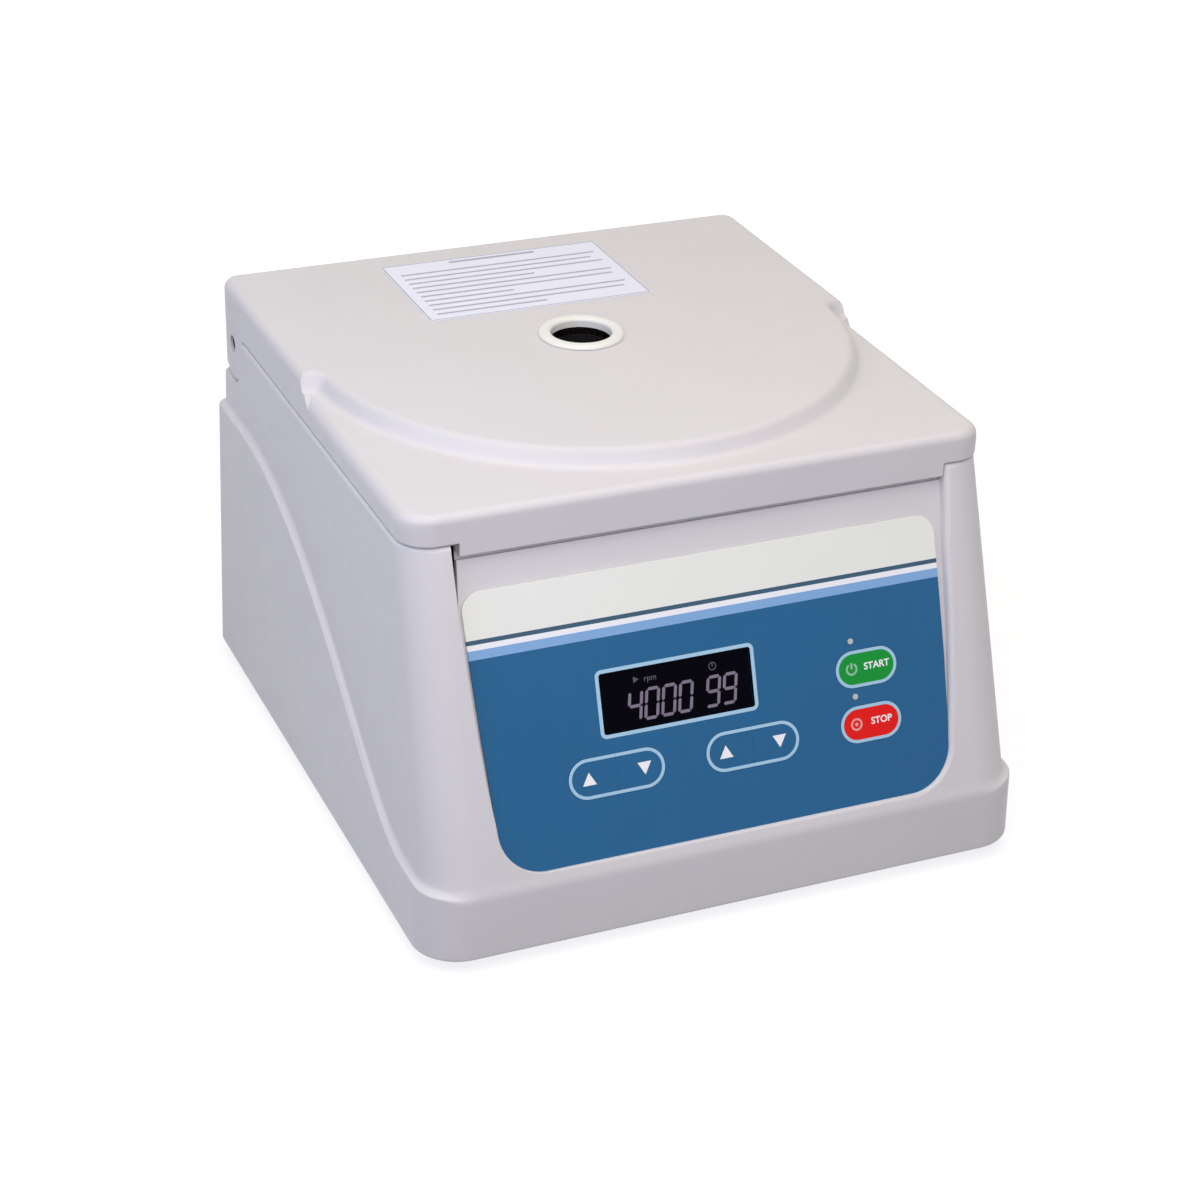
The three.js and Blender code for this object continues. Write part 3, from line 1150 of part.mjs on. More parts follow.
named('rotor', crown(), finish(steel, 0.35, 1), spindle);
named('rotor_shaft', shaft(), brushedSteel(), spindle);
named('rotor_nut', nut(), brushedSteel(), spindle);
for (let i = 0; i < SLEEVES; i++) {
  const arm = new THREE.Group();
  arm.rotation.z = 2 * Math.PI * i / SLEEVES;
  spindle.add(arm);
  const tube = named(`tube_sleeve_${i + 1}`, sleeve(), brushedSteel(), arm);
  tube.position.set(MOUTH_RADIUS, 0, 0);
  tube.rotation.y = -SLEEVE_TILT;
}

named('lid_shell', lidShell(), shellPlastic(), lidPieces);
named('lid_liner', liner(), shellPlastic(), lidPieces);
named('sight_ring', sightRing(), ringPlastic(), lidPieces).position.set(0, ROTOR_Y, 0);
const clear = finish(white, 0.05);
clear.transparent = true;
clear.opacity = 0.3;
named('sight_lens', lens(), clear, lidPieces).position.set(0, ROTOR_Y, 0);
named('label_plate', label(), finish(new THREE.Color(0xe6e7f0), 0.5), lidPieces);
named('lid_striker', striker(), brushedSteel(), lidPieces);
linerScrews.forEach(([x, y], i) => named(
  `liner_screw_${i + 1}`, screw(LINER_THICK + GAP * 2 + SCREW_BITE), brushedSteel(), lidPieces)
  .position.set(x, y, LINER_Z - GAP));

named('latch_frame', latchFrame(), brushedSteel(), machine);
named('latch_bolt', latchBolt(), brushedSteel(), machine);
named('latch_solenoid', solenoid(), blackPlastic(), machine);
named('lid_switch', lidSwitch(), blackPlastic(), machine);

named('panel_overlay', overlay(), finish(blue, 0.35), panel);
named('lcd_window', displayWindow(), finish(black, 0.1), panel);
named('lcd_module', displayModule(), blackPlastic(), panel);
named('control_board', controlBoard(), circuitBoard(), panel);
keys.forEach((key) => named(key.name, keyPad(key), finish(key.color ?? blue, 0.35), panel));
leds.forEach(({ name, place }) => named(name, led(place), finish(warmWhite, 0.3), panel));

named('power_inlet', inlet(), blackPlastic(), machine);
named('switch_bezel', bezel(), blackPlastic(), machine);
const powerRocker = named('power_rocker', rocker(), blackPlastic(), machine);
powerRocker.position.set(INLET_SIDE, FLANGE_FACE_Y - ROCKER_PIVOT_DEPTH, pocketZ);
powerRocker.rotation.x = -ROCKER_TILT;
named('power_board', powerBoard(), circuitBoard(), machine);

export default machine;
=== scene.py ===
"""Looks of the low-speed bench centrifuge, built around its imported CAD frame.

Lengths are in millimetres until a mesh is made, and +X is right, +Y back and +Z up, as in the frame.
"""
import math

import bmesh
import bpy
from mathutils import Matrix, Vector

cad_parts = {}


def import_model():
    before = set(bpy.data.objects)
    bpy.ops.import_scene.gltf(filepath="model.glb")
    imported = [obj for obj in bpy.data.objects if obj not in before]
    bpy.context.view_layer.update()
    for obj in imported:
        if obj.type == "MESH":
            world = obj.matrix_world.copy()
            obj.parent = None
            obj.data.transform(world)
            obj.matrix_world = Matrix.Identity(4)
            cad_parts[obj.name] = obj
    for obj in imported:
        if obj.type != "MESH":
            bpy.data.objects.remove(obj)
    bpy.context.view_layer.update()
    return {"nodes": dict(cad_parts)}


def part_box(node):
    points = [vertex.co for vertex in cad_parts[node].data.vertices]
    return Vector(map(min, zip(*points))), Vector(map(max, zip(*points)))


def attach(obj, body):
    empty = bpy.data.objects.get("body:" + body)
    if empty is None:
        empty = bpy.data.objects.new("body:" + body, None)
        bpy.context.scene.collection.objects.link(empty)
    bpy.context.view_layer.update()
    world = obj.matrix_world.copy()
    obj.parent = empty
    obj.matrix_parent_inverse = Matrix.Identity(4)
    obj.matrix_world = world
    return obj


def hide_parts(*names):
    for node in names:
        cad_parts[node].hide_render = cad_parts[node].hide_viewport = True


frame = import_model()

MM = 0.001


def corners(node):
    """A CAD node's lowest and highest corners in millimetres."""
    low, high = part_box(node)
    return [v / MM for v in low], [v / MM for v in high]


# Walls and gaps, as in the CAD source
WALL = 3
GAP = 0.3
MOVING_GAP = 0.7
SEAM_GAP = 0.5
OVERRUN = 12
BOWL_WALL = 1.5
BOWL_FLANGE = 6
MOUTH_DEPTH = 26.8

# Places read from the frame
SHELL_LOW, SHELL_HIGH = corners("housing_shell")
LID_LOW, LID_HIGH = corners("lid_shell")
BOWL_LOW, BOWL_HIGH = corners("chamber_bowl")
RING_TOP_Z = corners("sight_ring")[1][2]
PIN_LOW, PIN_HIGH = corners("hinge_pin_right")
FRONT_Y = SHELL_LOW[1]
BACK_Y = SHELL_HIGH[1]
SHELL_Z = SHELL_LOW[2]
DECK_Z = SHELL_HIGH[2]
SEAM_Z = DECK_Z + SEAM_GAP
LID_TOP_Z = LID_HIGH[2]
LID_HALF = LID_HIGH[0]
LID_FRONT_Y = LID_LOW[1]
ROTOR_Y = (BOWL_LOW[1] + BOWL_HIGH[1]) / 2
CENTRE = (0, ROTOR_Y)
BOWL_RADIUS = BOWL_HIGH[0] - BOWL_FLANGE
HINGE_Y = (PIN_LOW[1] + PIN_HIGH[1]) / 2
HINGE_Z = (PIN_LOW[2] + PIN_HIGH[2]) / 2
MOUTH_Z = DECK_Z - MOUTH_DEPTH

# Housing
BODY_HEIGHT = SEAM_Z - SHELL_Z
PLINTH_HALF = 149
PLINTH_FRONT_HEIGHT = 32.7
PLINTH_BACK_HEIGHT = 135.3
PLINTH_STEP = 3.3
FRONT_STEP = 2.6
BACK_STEP = 1
PLINTH_CORNER = 21.5
PILLAR_CORNER = 22.5
BODY_TOP_CORNER = 19
BODY_LEDGE = 0.7
BACK_CORNER = 8
FOOT_ROUNDING = 1.8
DECK_ROUNDING = 1.8
PLINTH_TOP_Z = SHELL_Z + PLINTH_FRONT_HEIGHT
SWOOSH_START = (FRONT_Y + 36, PLINTH_TOP_Z)
SWOOSH_END = (BACK_Y - 42, SHELL_Z + PLINTH_BACK_HEIGHT)
SWOOSH_HANDLES = (55, 120)
PILLAR_FOOT_Y = FRONT_Y + 0.8
PILLAR_SLOPE = (LID_FRONT_Y - PILLAR_FOOT_Y) / (SEAM_Z - PLINTH_TOP_Z)

# The sunk field's plane, from its foot on the plinth up to the lid's skirt
SKIRT_Z = SEAM_Z - 6.1
FIELD_FOOT_BACK = 1.3
FIELD_TOP_BACK = 6.1
FIELD_HALF_TOP = 119
FIELD_MARGIN = -0.4
FIELD_FOOT_Y = FRONT_Y + FRONT_STEP + FIELD_FOOT_BACK
FIELD_TOP_Y = (LID_FRONT_Y - (LID_FRONT_Y - FRONT_Y - FRONT_STEP) * (SEAM_Z - SKIRT_Z) / (SEAM_Z - PLINTH_TOP_Z)
               + FIELD_TOP_BACK)
FIELD_LEAN = math.atan2(FIELD_TOP_Y - FIELD_FOOT_Y, SKIRT_Z - PLINTH_TOP_Z)
FIELD_LENGTH = math.hypot(FIELD_TOP_Y - FIELD_FOOT_Y, SKIRT_Z - PLINTH_TOP_Z)
# The rim's rounding on the pillars, its greatest share of their rise, and how far round it turns in degrees
FIELD_RIM_LEFT, FIELD_RIM_RIGHT = 0.6, 2.6
RIM_SHARE = 0.7
RIM_TURN = 84

# Lid
LID_EDGE = 6.5
LID_FRONT_EDGE = 4
RAISED_EDGE = 5.2
LID_CORNER = 15
LID_FOOT_ROUNDING = 1.2
LEAST_CORNER = 0.5
SKIRT_GAP_LEFT, SKIRT_GAP_RIGHT = 3.4, 1.4
SKIRT_LIP = 0.9
DECK_DROP = 8.4
LID_DECK_Z = LID_TOP_Z - DECK_DROP
FIELD_RADIUS = 131
FIELD_SLOPE = 4.2
FIELD_FILLET = 4.5
REAR_FIELD_Y = BACK_Y - 126.4
# The raised field's crest, how far its straight edges stand forward at the lid's sides, and their rounding
CREST = -4.9
CREST_SHIFT = -1.5
CORNER_FILLET = 13
CORNER_TAPER = 0.8
LEAST_FILLET = 2
# How far the raised field's foot and crest run on, and how far its foot flares below the deck
FOOT_RUN = 0.6
CREST_RUN = 0.4
FOOT_FLARE = LID_EDGE * 0.75
LINER_Z = DECK_Z + 4.6
LINER_TOP_Z = LINER_Z + 2

# Hinge
EAR_RADIUS = 18.5
EAR_INNER_X = LID_HALF - 22
EAR_EASE = 0.9
ROLL_RADIUS = 14.6
REAR_LEDGE_Z = SEAM_Z - 26.6
NOTCH_Y = HINGE_Y - 3
PIN_RADIUS = 3
PIN_IN_BODY = 20
PIN_HOLE = 4.2
# The small hole at the seam's rear end: its radius, y and z
RELIEF = (1.1, BACK_Y - 36.4, SEAM_Z - 0.3)

# Panel film
OVERLAY_HALF = 113
OVERLAY_TOP_CORNER = 9
OVERLAY_BOTTOM_CORNER = 22
OVERLAY_BOTTOM = 4
OVERLAY_TOP = FIELD_LENGTH - 17.5
OVERLAY_MIDDLE = (OVERLAY_BOTTOM + OVERLAY_TOP) / 2
OVERLAY_LENGTH = OVERLAY_TOP - OVERLAY_BOTTOM
FILM_FOOT = OVERLAY_BOTTOM - 0.5
FILM_TOP = 1.3
KEY_TOP = 1.5
KEY_THICK = 0.6
STEM_RADIUS = 2
STEM_FOOT = -WALL - 1.2
PAD_TOP = KEY_TOP - 0.08
PAD_INSET = 0.03
PAD_EASE = 0.1
OUTLINE_INSET = 0.12
GLASS_TOP = FILM_TOP - 0.2
THROUGH = (-WALL - OVERRUN / 2, OVERRUN)

# Rear panel: openings as their middle, width and height, and the vents from low to high
POCKET_HALF, POCKET_HALF_HEIGHT = 55, 21
INLET = (-26, 27, 19.8)
SWITCH = (26, 14, 20)
VENTS = 12
VENT_PITCH = 14
VENT_HALF = 1.5
VENT_REACH = (80, 110)
POCKET_Z = SHELL_Z + 42
POCKET_FLOOR_Y = BACK_Y - 4

# Sides to a full round and steps to a quarter of a corner
BOWL_SIDES = 128
ROUND_SIDES = 96
SMALL_SIDES = 32
CORNER_STEPS = 14


# Mesh helpers

def arc(centre, radius, start, end, steps=CORNER_STEPS):
    """Points of an arc in degrees, both ends included."""
    angles = [math.radians(start + (end - start) * i / steps) for i in range(steps + 1)]
    return [(centre[0] + radius * math.cos(a), centre[1] + radius * math.sin(a)) for a in angles]


def circle(x, y, radius, sides=SMALL_SIDES):
    return arc((x, y), radius, 0, 360, sides)[:-1]


def spread(start, end, count):
    """count values evenly from start up to, and without, end."""
    return [start + (end - start) * i / count for i in range(count)]


def rounded(half, front, back, front_radius, back_radius=None, middle=0, steps=CORNER_STEPS):
    """A rectangle with rounded corners, counter-clockwise from its front right corner."""
    back_radius = front_radius if back_radius is None else back_radius
    right, left = middle + half, middle - half
    return [
        *arc((right - front_radius, front + front_radius), front_radius, -90, 0, steps),
        *arc((right - back_radius, back - back_radius), back_radius, 0, 90, steps),
        *arc((left + back_radius, back - back_radius), back_radius, 90, 180, steps),
        *arc((left + front_radius, front + front_radius), front_radius, 180, 270, steps),
    ]


def turns(end, steps):
    """Angles in radians from zero to end degrees, both ends included."""
    return [math.radians(end * k / steps) for k in range(steps + 1)]


def level(outline, z):
    """A flat outline's points at one height."""
    return [(x, y, z) for x, y in outline]


def placed(name, data):
    """A new object in the scene."""
    made = bpy.data.objects.new(name, data)
    bpy.context.scene.collection.objects.link(made)
    return made


def raw_object(points, faces, name="tool"):
    """An object from points in millimetres, with doubled points merged."""
    mesh = bpy.data.meshes.new(name)
    mesh.from_pydata([tuple(v * MM for v in p) for p in points], [], faces)
    work = bmesh.new()
    work.from_mesh(mesh)
    bmesh.ops.remove_doubles(work, verts=work.verts, dist=1e-7)
    bmesh.ops.recalc_face_normals(work, faces=work.faces)
    work.to_mesh(mesh)
    work.free()
    return placed(name, mesh)


def skin(rings, close=False):
    """A closed skin over rings of (x, y, z) points, capped at both ends or closed on itself."""
    count = len(rings[0])
    points = [p for ring in rings for p in ring]
    faces = []
    for k in range(len(rings) if close else len(rings) - 1):
        low, high = k * count, (k + 1) % len(rings) * count
        for i in range(count):
            j = (i + 1) % count
            faces.append((low + i, low + j, high + j, high + i))
    if not close:
        faces.append(tuple(range(count))[::-1])
        faces.append(tuple(range(len(points) - count, len(points))))
    return raw_object(points, faces)


def plate(outline, bottom, top):
    """A flat outline given thickness along Z."""
    return skin([level(outline, z) for z in (bottom, top)])


def sideways(outline, start, end):
    """An outline in (y, z) given width along X."""
    return skin([[(x, y, z) for y, z in outline] for x in (start, end)])


def upright(outline, start, end):
    """An outline in (x, z) given depth along Y."""
    return skin([[(x, y, z) for x, z in outline] for y in (start, end)])


def band(outer, inner, bottom, top):
    """The flat rim between two outlines with the same number of points."""
    rings = [(outer, bottom), (outer, top), (inner, top), (inner, bottom)]
    return skin([level(outline, z) for outline, z in rings], close=True)


def soft_plate(outline, bottom, top, ease):
    """A plate whose top edge is rounded by ease."""
    rings = [level(outline, z) for z in (bottom, top - ease)]
    for a in turns(90, 3)[1:]:
        rings.append(level(inset_outline(outline, ease * (1 - math.cos(a))), top - ease * (1 - math.sin(a))))
    return skin(rings)


def plates(outlines, bottom, top):
    """Several flat outlines, clear of each other, as one mesh."""
    points, faces = [], []
    for outline in outlines:
        start, count = len(points), len(outline)
        points += level(outline, bottom) + level(outline, top)
        faces.append(tuple(range(start, start + count))[::-1])
        faces.append(tuple(range(start + count, start + count * 2)))
        for i in range(count):
            j = (i + 1) % count
            faces.append((start + i, start + j, start + count + j, start + count + i))
    return raw_object(points, faces)


def block(low, high):
    (x0, y0, z0), (x1, y1, z1) = low, high
    return plate([(x0, y0), (x1, y0), (x1, y1), (x0, y1)], z0, z1)


def turned(profile, sides=ROUND_SIDES, at=(0, 0)):
    """A closed profile of (radius, z) points turned round a vertical axis."""
    angles = spread(0, 2 * math.pi, sides)
    return skin([[(at[0] + radius * math.cos(a), at[1] + radius * math.sin(a), z) for a in angles]
                 for radius, z in profile], close=True)


def moved(piece, matrix):
    piece.data.transform(matrix)
    return piece


def rod(radius, start, end, sides=SMALL_SIDES):
    """A round bar between two points."""
    start, end = Vector(start), Vector(end)
    along = end - start
    bar = plate(circle(0, 0, radius, sides), 0, along.length)
    turn = Vector((0, 0, 1)).rotation_difference(along).to_matrix().to_4x4()
    return moved(bar, Matrix.Translation(start * MM) @ turn)


def settle(piece):
    """Takes a piece's modifiers into its mesh."""
    bpy.context.view_layer.update()
    graph = bpy.context.evaluated_depsgraph_get()
    made = bpy.data.meshes.new_from_object(piece.evaluated_get(graph))
    piece.modifiers.clear()
    piece.data = made
    return piece


def combine(piece, operation, *tools):
    """Joins, cuts or intersects a piece with the tools, which are used up."""
    for tool in tools:
        step = piece.modifiers.new("combine", "BOOLEAN")
        step.solver = "MANIFOLD"
        step.operation = operation
        step.object = tool
    settle(piece)
    for tool in tools:
        bpy.data.objects.remove(tool)
    return piece


def cut(piece, *tools):
    return combine(piece, "DIFFERENCE", *tools)


def join(piece, *tools):
    return combine(piece, "UNION", *tools)


def smooth(piece, sharp_degrees=32):
    """Smooth shading with sharp edges kept, weighted so that flat faces stay flat."""
    mesh = piece.data
    mesh.polygons.foreach_set("use_smooth", [True] * len(mesh.polygons))
    mesh.set_sharp_from_angle(angle=math.radians(sharp_degrees))
    weighted = piece.modifiers.new("weighted", "WEIGHTED_NORMAL")
    weighted.keep_sharp = True
    weighted.weight = 50
    return settle(piece)


def finished(piece, name, material, body, slot, *nodes, sharp_degrees=32):
    """Names, shades and paints a piece, rides it on its body and lets it stand for its nodes."""
    smooth(piece, sharp_degrees)
    piece.name = name
    piece.data.name = name
    if material:
        piece.data.materials.clear()
        piece.data.materials.append(material)
    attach(piece, body)
    if nodes:
        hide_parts(*nodes)
    return piece


# Materials

def linear(red, green, blue):
    """A colour written as 0 to 255 screen values, in linear light."""
    def channel(value):
        share = value / 255
        return share / 12.92 if share <= 0.04045 else ((share + 0.055) / 1.055) ** 2.4
    return (channel(red), channel(green), channel(blue), 1)


def set_inputs(node, **values):
    """Sets a node's inputs, with an underscore for each space in their names."""
    for socket, value in values.items():
        node.inputs[socket.replace("_", " ")].default_value = value
    return node


def new_node(tree, kind, **values):
    """A new shader node with its inputs set."""
    return set_inputs(tree.nodes.new("ShaderNode" + kind), **values)


class Paint:
    """A Principled material with a screen colour that drifts a little and a surface grain."""

    def __init__(self, name, color, roughness, drift=0.03, drift_size=45, grain=0.02, grain_size=0.5,
                 grain_stretch=(1, 1, 1), rough_drift=0.05, **sockets):
        self.material = bpy.data.materials.new(name)
        self.material.use_nodes = True
        self.tree = self.material.node_tree
        self.link = self.tree.links.new
        self.shader = set_inputs(self.tree.nodes["Principled BSDF"], **sockets)
        self.place = new_node(self.tree, "TexCoord").outputs["Object"]
        self.color_drift(linear(*color), drift, self.noise(drift_size, 2))
        self.set_roughness(roughness, rough_drift, self.noise(drift_size / 6, 3))
        if grain:
            self.grain(grain, grain_size, grain_stretch)

    def noise(self, size, detail, stretch=(1, 1, 1)):
        """Noise whose features are size millimetres across."""
        mapping = new_node(self.tree, "Mapping", Scale=stretch)
        self.link(self.place, mapping.inputs["Vector"])
        noise = new_node(self.tree, "TexNoise", Scale=1 / (size * MM), Detail=detail)
        self.link(mapping.outputs["Vector"], noise.inputs["Vector"])
        return noise.outputs["Fac"]

    def ramp(self, value, low, high):
        """Maps a noise value's middle range to low..high."""
        ramp = new_node(self.tree, "MapRange", From_Min=0.3, From_Max=0.7, To_Min=low, To_Max=high)
        self.link(value, ramp.inputs["Value"])
        return ramp.outputs["Result"]

    def color_drift(self, color, drift, value):
        mix = new_node(self.tree, "Mix")
        mix.data_type = "RGBA"
        mix.inputs["A"].default_value = [c * (1 - drift) for c in color[:3]] + [1]
        mix.inputs["B"].default_value = [min(c * (1 + drift), 1) for c in color[:3]] + [1]
        self.link(self.ramp(value, 0, 1), mix.inputs["Factor"])
        self.link(mix.outputs["Result"], self.shader.inputs["Base Color"])

    def set_roughness(self, roughness, drift, value):
        result = self.ramp(value, max(roughness - drift, 0.02), min(roughness + drift, 1))
        self.link(result, self.shader.inputs["Roughness"])

    def grain(self, depth, size, stretch):
        """Fine bumps, depth millimetres high."""
        bump = new_node(self.tree, "Bump", Strength=0.35, Distance=depth * MM)
        self.link(self.noise(size, 3, stretch), bump.inputs["Height"])
        self.link(bump.outputs["Normal"], self.shader.inputs["Normal"])


def paint(*args, **keywords):
    return Paint(*args, **keywords).material


def film(name, color, roughness=0.38, drift=0.02, **more):
    return paint(name, color, roughness, drift=drift, grain=0.008, grain_size=0.35, **more)


def ink(name, color, roughness=0.4, drift=0.02, grain_size=0.3, **more):
    return paint(name, color, roughness, drift=drift, grain=0.004, grain_size=grain_size, **more)


def segment_ink(name, color):
    return paint(name, color, 0.4, drift=0.08, drift_size=12, grain=0.002, Specular_IOR_Level=0.1)


def metal(name, color, roughness, drift, drift_size, grain, grain_size, rough_drift, grain_stretch=(1, 1, 1)):
    """A metal paint, with Paint's values in Paint's order but for the roughness's drift."""
    return paint(name, color, roughness, drift, drift_size, grain, grain_size, grain_stretch, rough_drift, Metallic=1)


shell_plastic = paint("shell_plastic", (219, 217, 217), 0.46, drift=0.012, drift_size=60, grain=0.03, grain_size=0.7)
liner_plastic = paint("liner_plastic", (206, 204, 204), 0.5, drift=0.02, grain=0.03, grain_size=0.8)
ring_plastic = paint("ring_plastic", (237, 238, 231), 0.32, drift=0.015, grain=0.01, grain_size=1.2)
film_blue = film("film_blue", (35, 101, 146), drift_size=30, Specular_IOR_Level=0.25)
film_cream = film("film_cream", (243, 246, 237), 0.4, 0.01, drift_size=30)
film_teal = film("film_teal", (42, 84, 108))
film_white = film("film_white", (250, 252, 255), drift=0.01)
film_sky = film("film_sky", (133, 178, 224))
film_green = film("film_green", (0, 152, 50), 0.35, Specular_IOR_Level=0.25)
film_red = film("film_red", (240, 18, 12), 0.35, Specular_IOR_Level=0.25)
ink_pale = ink("ink_pale", (172, 212, 234))
ink_white = ink("ink_white", (255, 255, 255), drift=0.01)
ink_faded = ink("ink_faded", (150, 205, 170))
ink_blush = ink("ink_blush", (245, 170, 165))
display_glass = paint("display_glass", (2, 1, 10), 0.12, drift=0.1, grain=0.001, grain_size=4, Specular_IOR_Level=0.03)
display_ink = segment_ink("display_ink", (134, 126, 142))
display_dim = segment_ink("display_dim", (92, 88, 102))
led_lens = paint("led_lens", (196, 198, 192), 0.25, drift=0.05, drift_size=2, grain=0.004, grain_size=0.4)
label_film = paint("label_film", (237, 240, 253), 0.42, drift=0.01, drift_size=20, grain=0.006, grain_size=0.6)
rubber = paint("rubber", (30, 30, 32), 0.78, drift=0.15, drift_size=6, grain=0.05)
black_plastic = paint("black_plastic", (26, 26, 29), 0.42, drift=0.08, drift_size=15, grain=0.03)
motor_enamel = paint("motor_enamel", (28, 28, 31), 0.3, drift=0.08, grain_size=2, Coat_Weight=0.3,
                     Coat_Roughness=0.08)
circuit = paint("circuit_board", (24, 92, 56), 0.35, drift=0.12, drift_size=4, grain=0.03, grain_size=1)
zinc_plate = metal("zinc_plate", (188, 190, 193), 0.34, 0.06, 12, 0.01, 1.5, 0.08, (0.1, 1, 1))
bowl_steel = metal("bowl_steel", (196, 198, 201), 0.3, 0.05, 30, 0.012, 1.2, 0.07, (0.15, 0.15, 3))
rotor_alloy = metal("rotor_alloy", (200, 202, 206), 0.38, 0.04, 20, 0.01, 0.8, 0.06, (1, 1, 4))
sleeve_steel = metal("sleeve_steel", (204, 206, 209), 0.24, 0.05, 8, 0.006, 0.8, 0.06)
screw_steel = metal("screw_steel", (186, 187, 190), 0.3, 0.08, 3, 0.01, 0.6, 0.08)
# The pins' near-black colour is painted shade: it darkens the hinge holes in the lid's ears where the pin ends show.
pin_steel = paint("pin_steel", (22, 21, 23), 0.6, drift=0.1, drift_size=3, grain=0.01, Specular_IOR_Level=0.2)
label_ink = ink("label_ink", (150, 151, 164), 0.5, 0.06, 0.4, drift_size=5)
rule_ink = ink("rule_ink", (172, 173, 186), 0.5, 0.08, 0.4, drift_size=4)
# The collar's dark, blotchy colour is painted shade among the glints inside the sight hole; its metal reflections are
# real.
collar_metal = metal("collar_metal", (84, 76, 72), 0.28, 0.25, 3, 0.03, 1.5, 0.12, (1, 1, 0.3))
lens_glass = paint("lens_glass", (235, 240, 243), 0.03, drift=0.01, grain=0, rough_drift=0.015,
                   Transmission_Weight=1, IOR=1.49)


# Housing

def body_half(z):
    foot = PLINTH_HALF - PLINTH_STEP
    return foot + (LID_HALF + BODY_LEDGE - foot) * (z - SHELL_Z) / BODY_HEIGHT


def body_corner(z):
    return PILLAR_CORNER - (PILLAR_CORNER - BODY_TOP_CORNER) * (z - SHELL_Z) / BODY_HEIGHT


def pillar_y(z):
    return PILLAR_FOOT_Y + PILLAR_SLOPE * max(z - PLINTH_TOP_Z, 0)


def swoosh(y):
    """The height of the plinth's top edge on the sides, and its slope, at a place along Y."""
    (y0, z0), (y3, z3) = SWOOSH_START, SWOOSH_END
    y1, y2 = y0 + SWOOSH_HANDLES[0], y3 - SWOOSH_HANDLES[1]
    if y <= y0:
        return z0, 0
    if y >= y3:
        return z3, 0
    low, high = 0.0, 1.0
    for _ in range(40):
        t = (low + high) / 2
        s = 1 - t
        if s**3 * y0 + 3 * s * s * t * y1 + 3 * s * t * t * y2 + t**3 * y3 < y:
            low = t
        else:
            high = t
    run = 3 * s * s * (y1 - y0) + 6 * s * t * (y2 - y1) + 3 * t * t * (y3 - y2)
    rise = 6 * s * t * (z3 - z0)
    return z0 + (z3 - z0) * (3 * t * t - 2 * t**3), rise / run


FRONT_COLUMNS = 130
SIDE_COLUMNS = 190
BACK_COLUMNS = 110
CORNER_COLUMNS = 18
SIDE_SHIFT_FADE = 4


def outline_column(place, half, front, corner, back):
    """One point of the outline, from its column's segment, share along it and side."""
    segment, share, side = place
    side_end = back - BACK_CORNER
    angle = math.radians(90 * share)
    if segment == "front":
        return (half - corner) * (2 * share - 1), front
    if segment == "back":
        return (half - BACK_CORNER) * (1 - 2 * share), back
    if segment == "front_corner":
        x, y = half - corner + corner * math.sin(angle), front + corner - corner * math.cos(angle)
    elif segment == "back_corner":
        x, y = half - BACK_CORNER + BACK_CORNER * math.cos(angle), side_end + BACK_CORNER * math.sin(angle)
    else:
        base = FRONT_Y + PLINTH_CORNER
        shift = (front + corner - base) * (1 - share) ** SIDE_SHIFT_FADE
        x, y = half, base + (side_end - base) * share + shift
    return x * side, y


def outline_columns():
    def run(segment, count, side=1):
        return [(segment, s if side > 0 else 1 - s, side) for s in spread(0, 1, count)]

    right = [("front_corner", CORNER_COLUMNS), ("side", SIDE_COLUMNS), ("back_corner", CORNER_COLUMNS)]
    columns = run("front", FRONT_COLUMNS)
    for segment, count in right:
        columns += run(segment, count)
    columns += run("back", BACK_COLUMNS)
    for segment, count in reversed(right):
        columns += run(segment, count, -1)
    return columns


# The step's section on the sides and the softer one in front: how far towards the plinth, and the height
# from the step's line
STEP_SHARES = [
    (1, -0.9), (0.985, -0.5), (0.94, -0.2), (0.87, 0), (0.78, 0.1), (0.66, 0.2),
    (0.53, 0.36), (0.4, 0.6), (0.28, 0.95), (0.17, 1.4), (0.08, 2), (0, 2.9),
]
FRONT_SHARES = [
    (1, -4), (0.975, -3), (0.93, -2.5), (0.875, -2), (0.77, -1.5), (0.65, -1),
    (0.49, -0.5), (0.31, 0), (0.194, 1), (0.093, 2), (0.023, 3), (0, 4),
]
STEP_BLEND = 0.45


def step_section(place, slope):
    """The step's section at a column, which softens round the front corners."""
    segment, share, _ = place
    away = {"front": 0, "front_corner": share}.get(segment, 1)
    turn = min(away / STEP_BLEND, 1)
    side = turn * turn * (3 - 2 * turn)
    stretch = math.hypot(1, slope)
    return [(out * side + soft_out * (1 - side), (rise * side + soft_rise * (1 - side)) * stretch)
            for (out, rise), (soft_out, soft_rise) in zip(STEP_SHARES, FRONT_SHARES)]


PLINTH_ROWS = 22
BODY_ROWS = 40


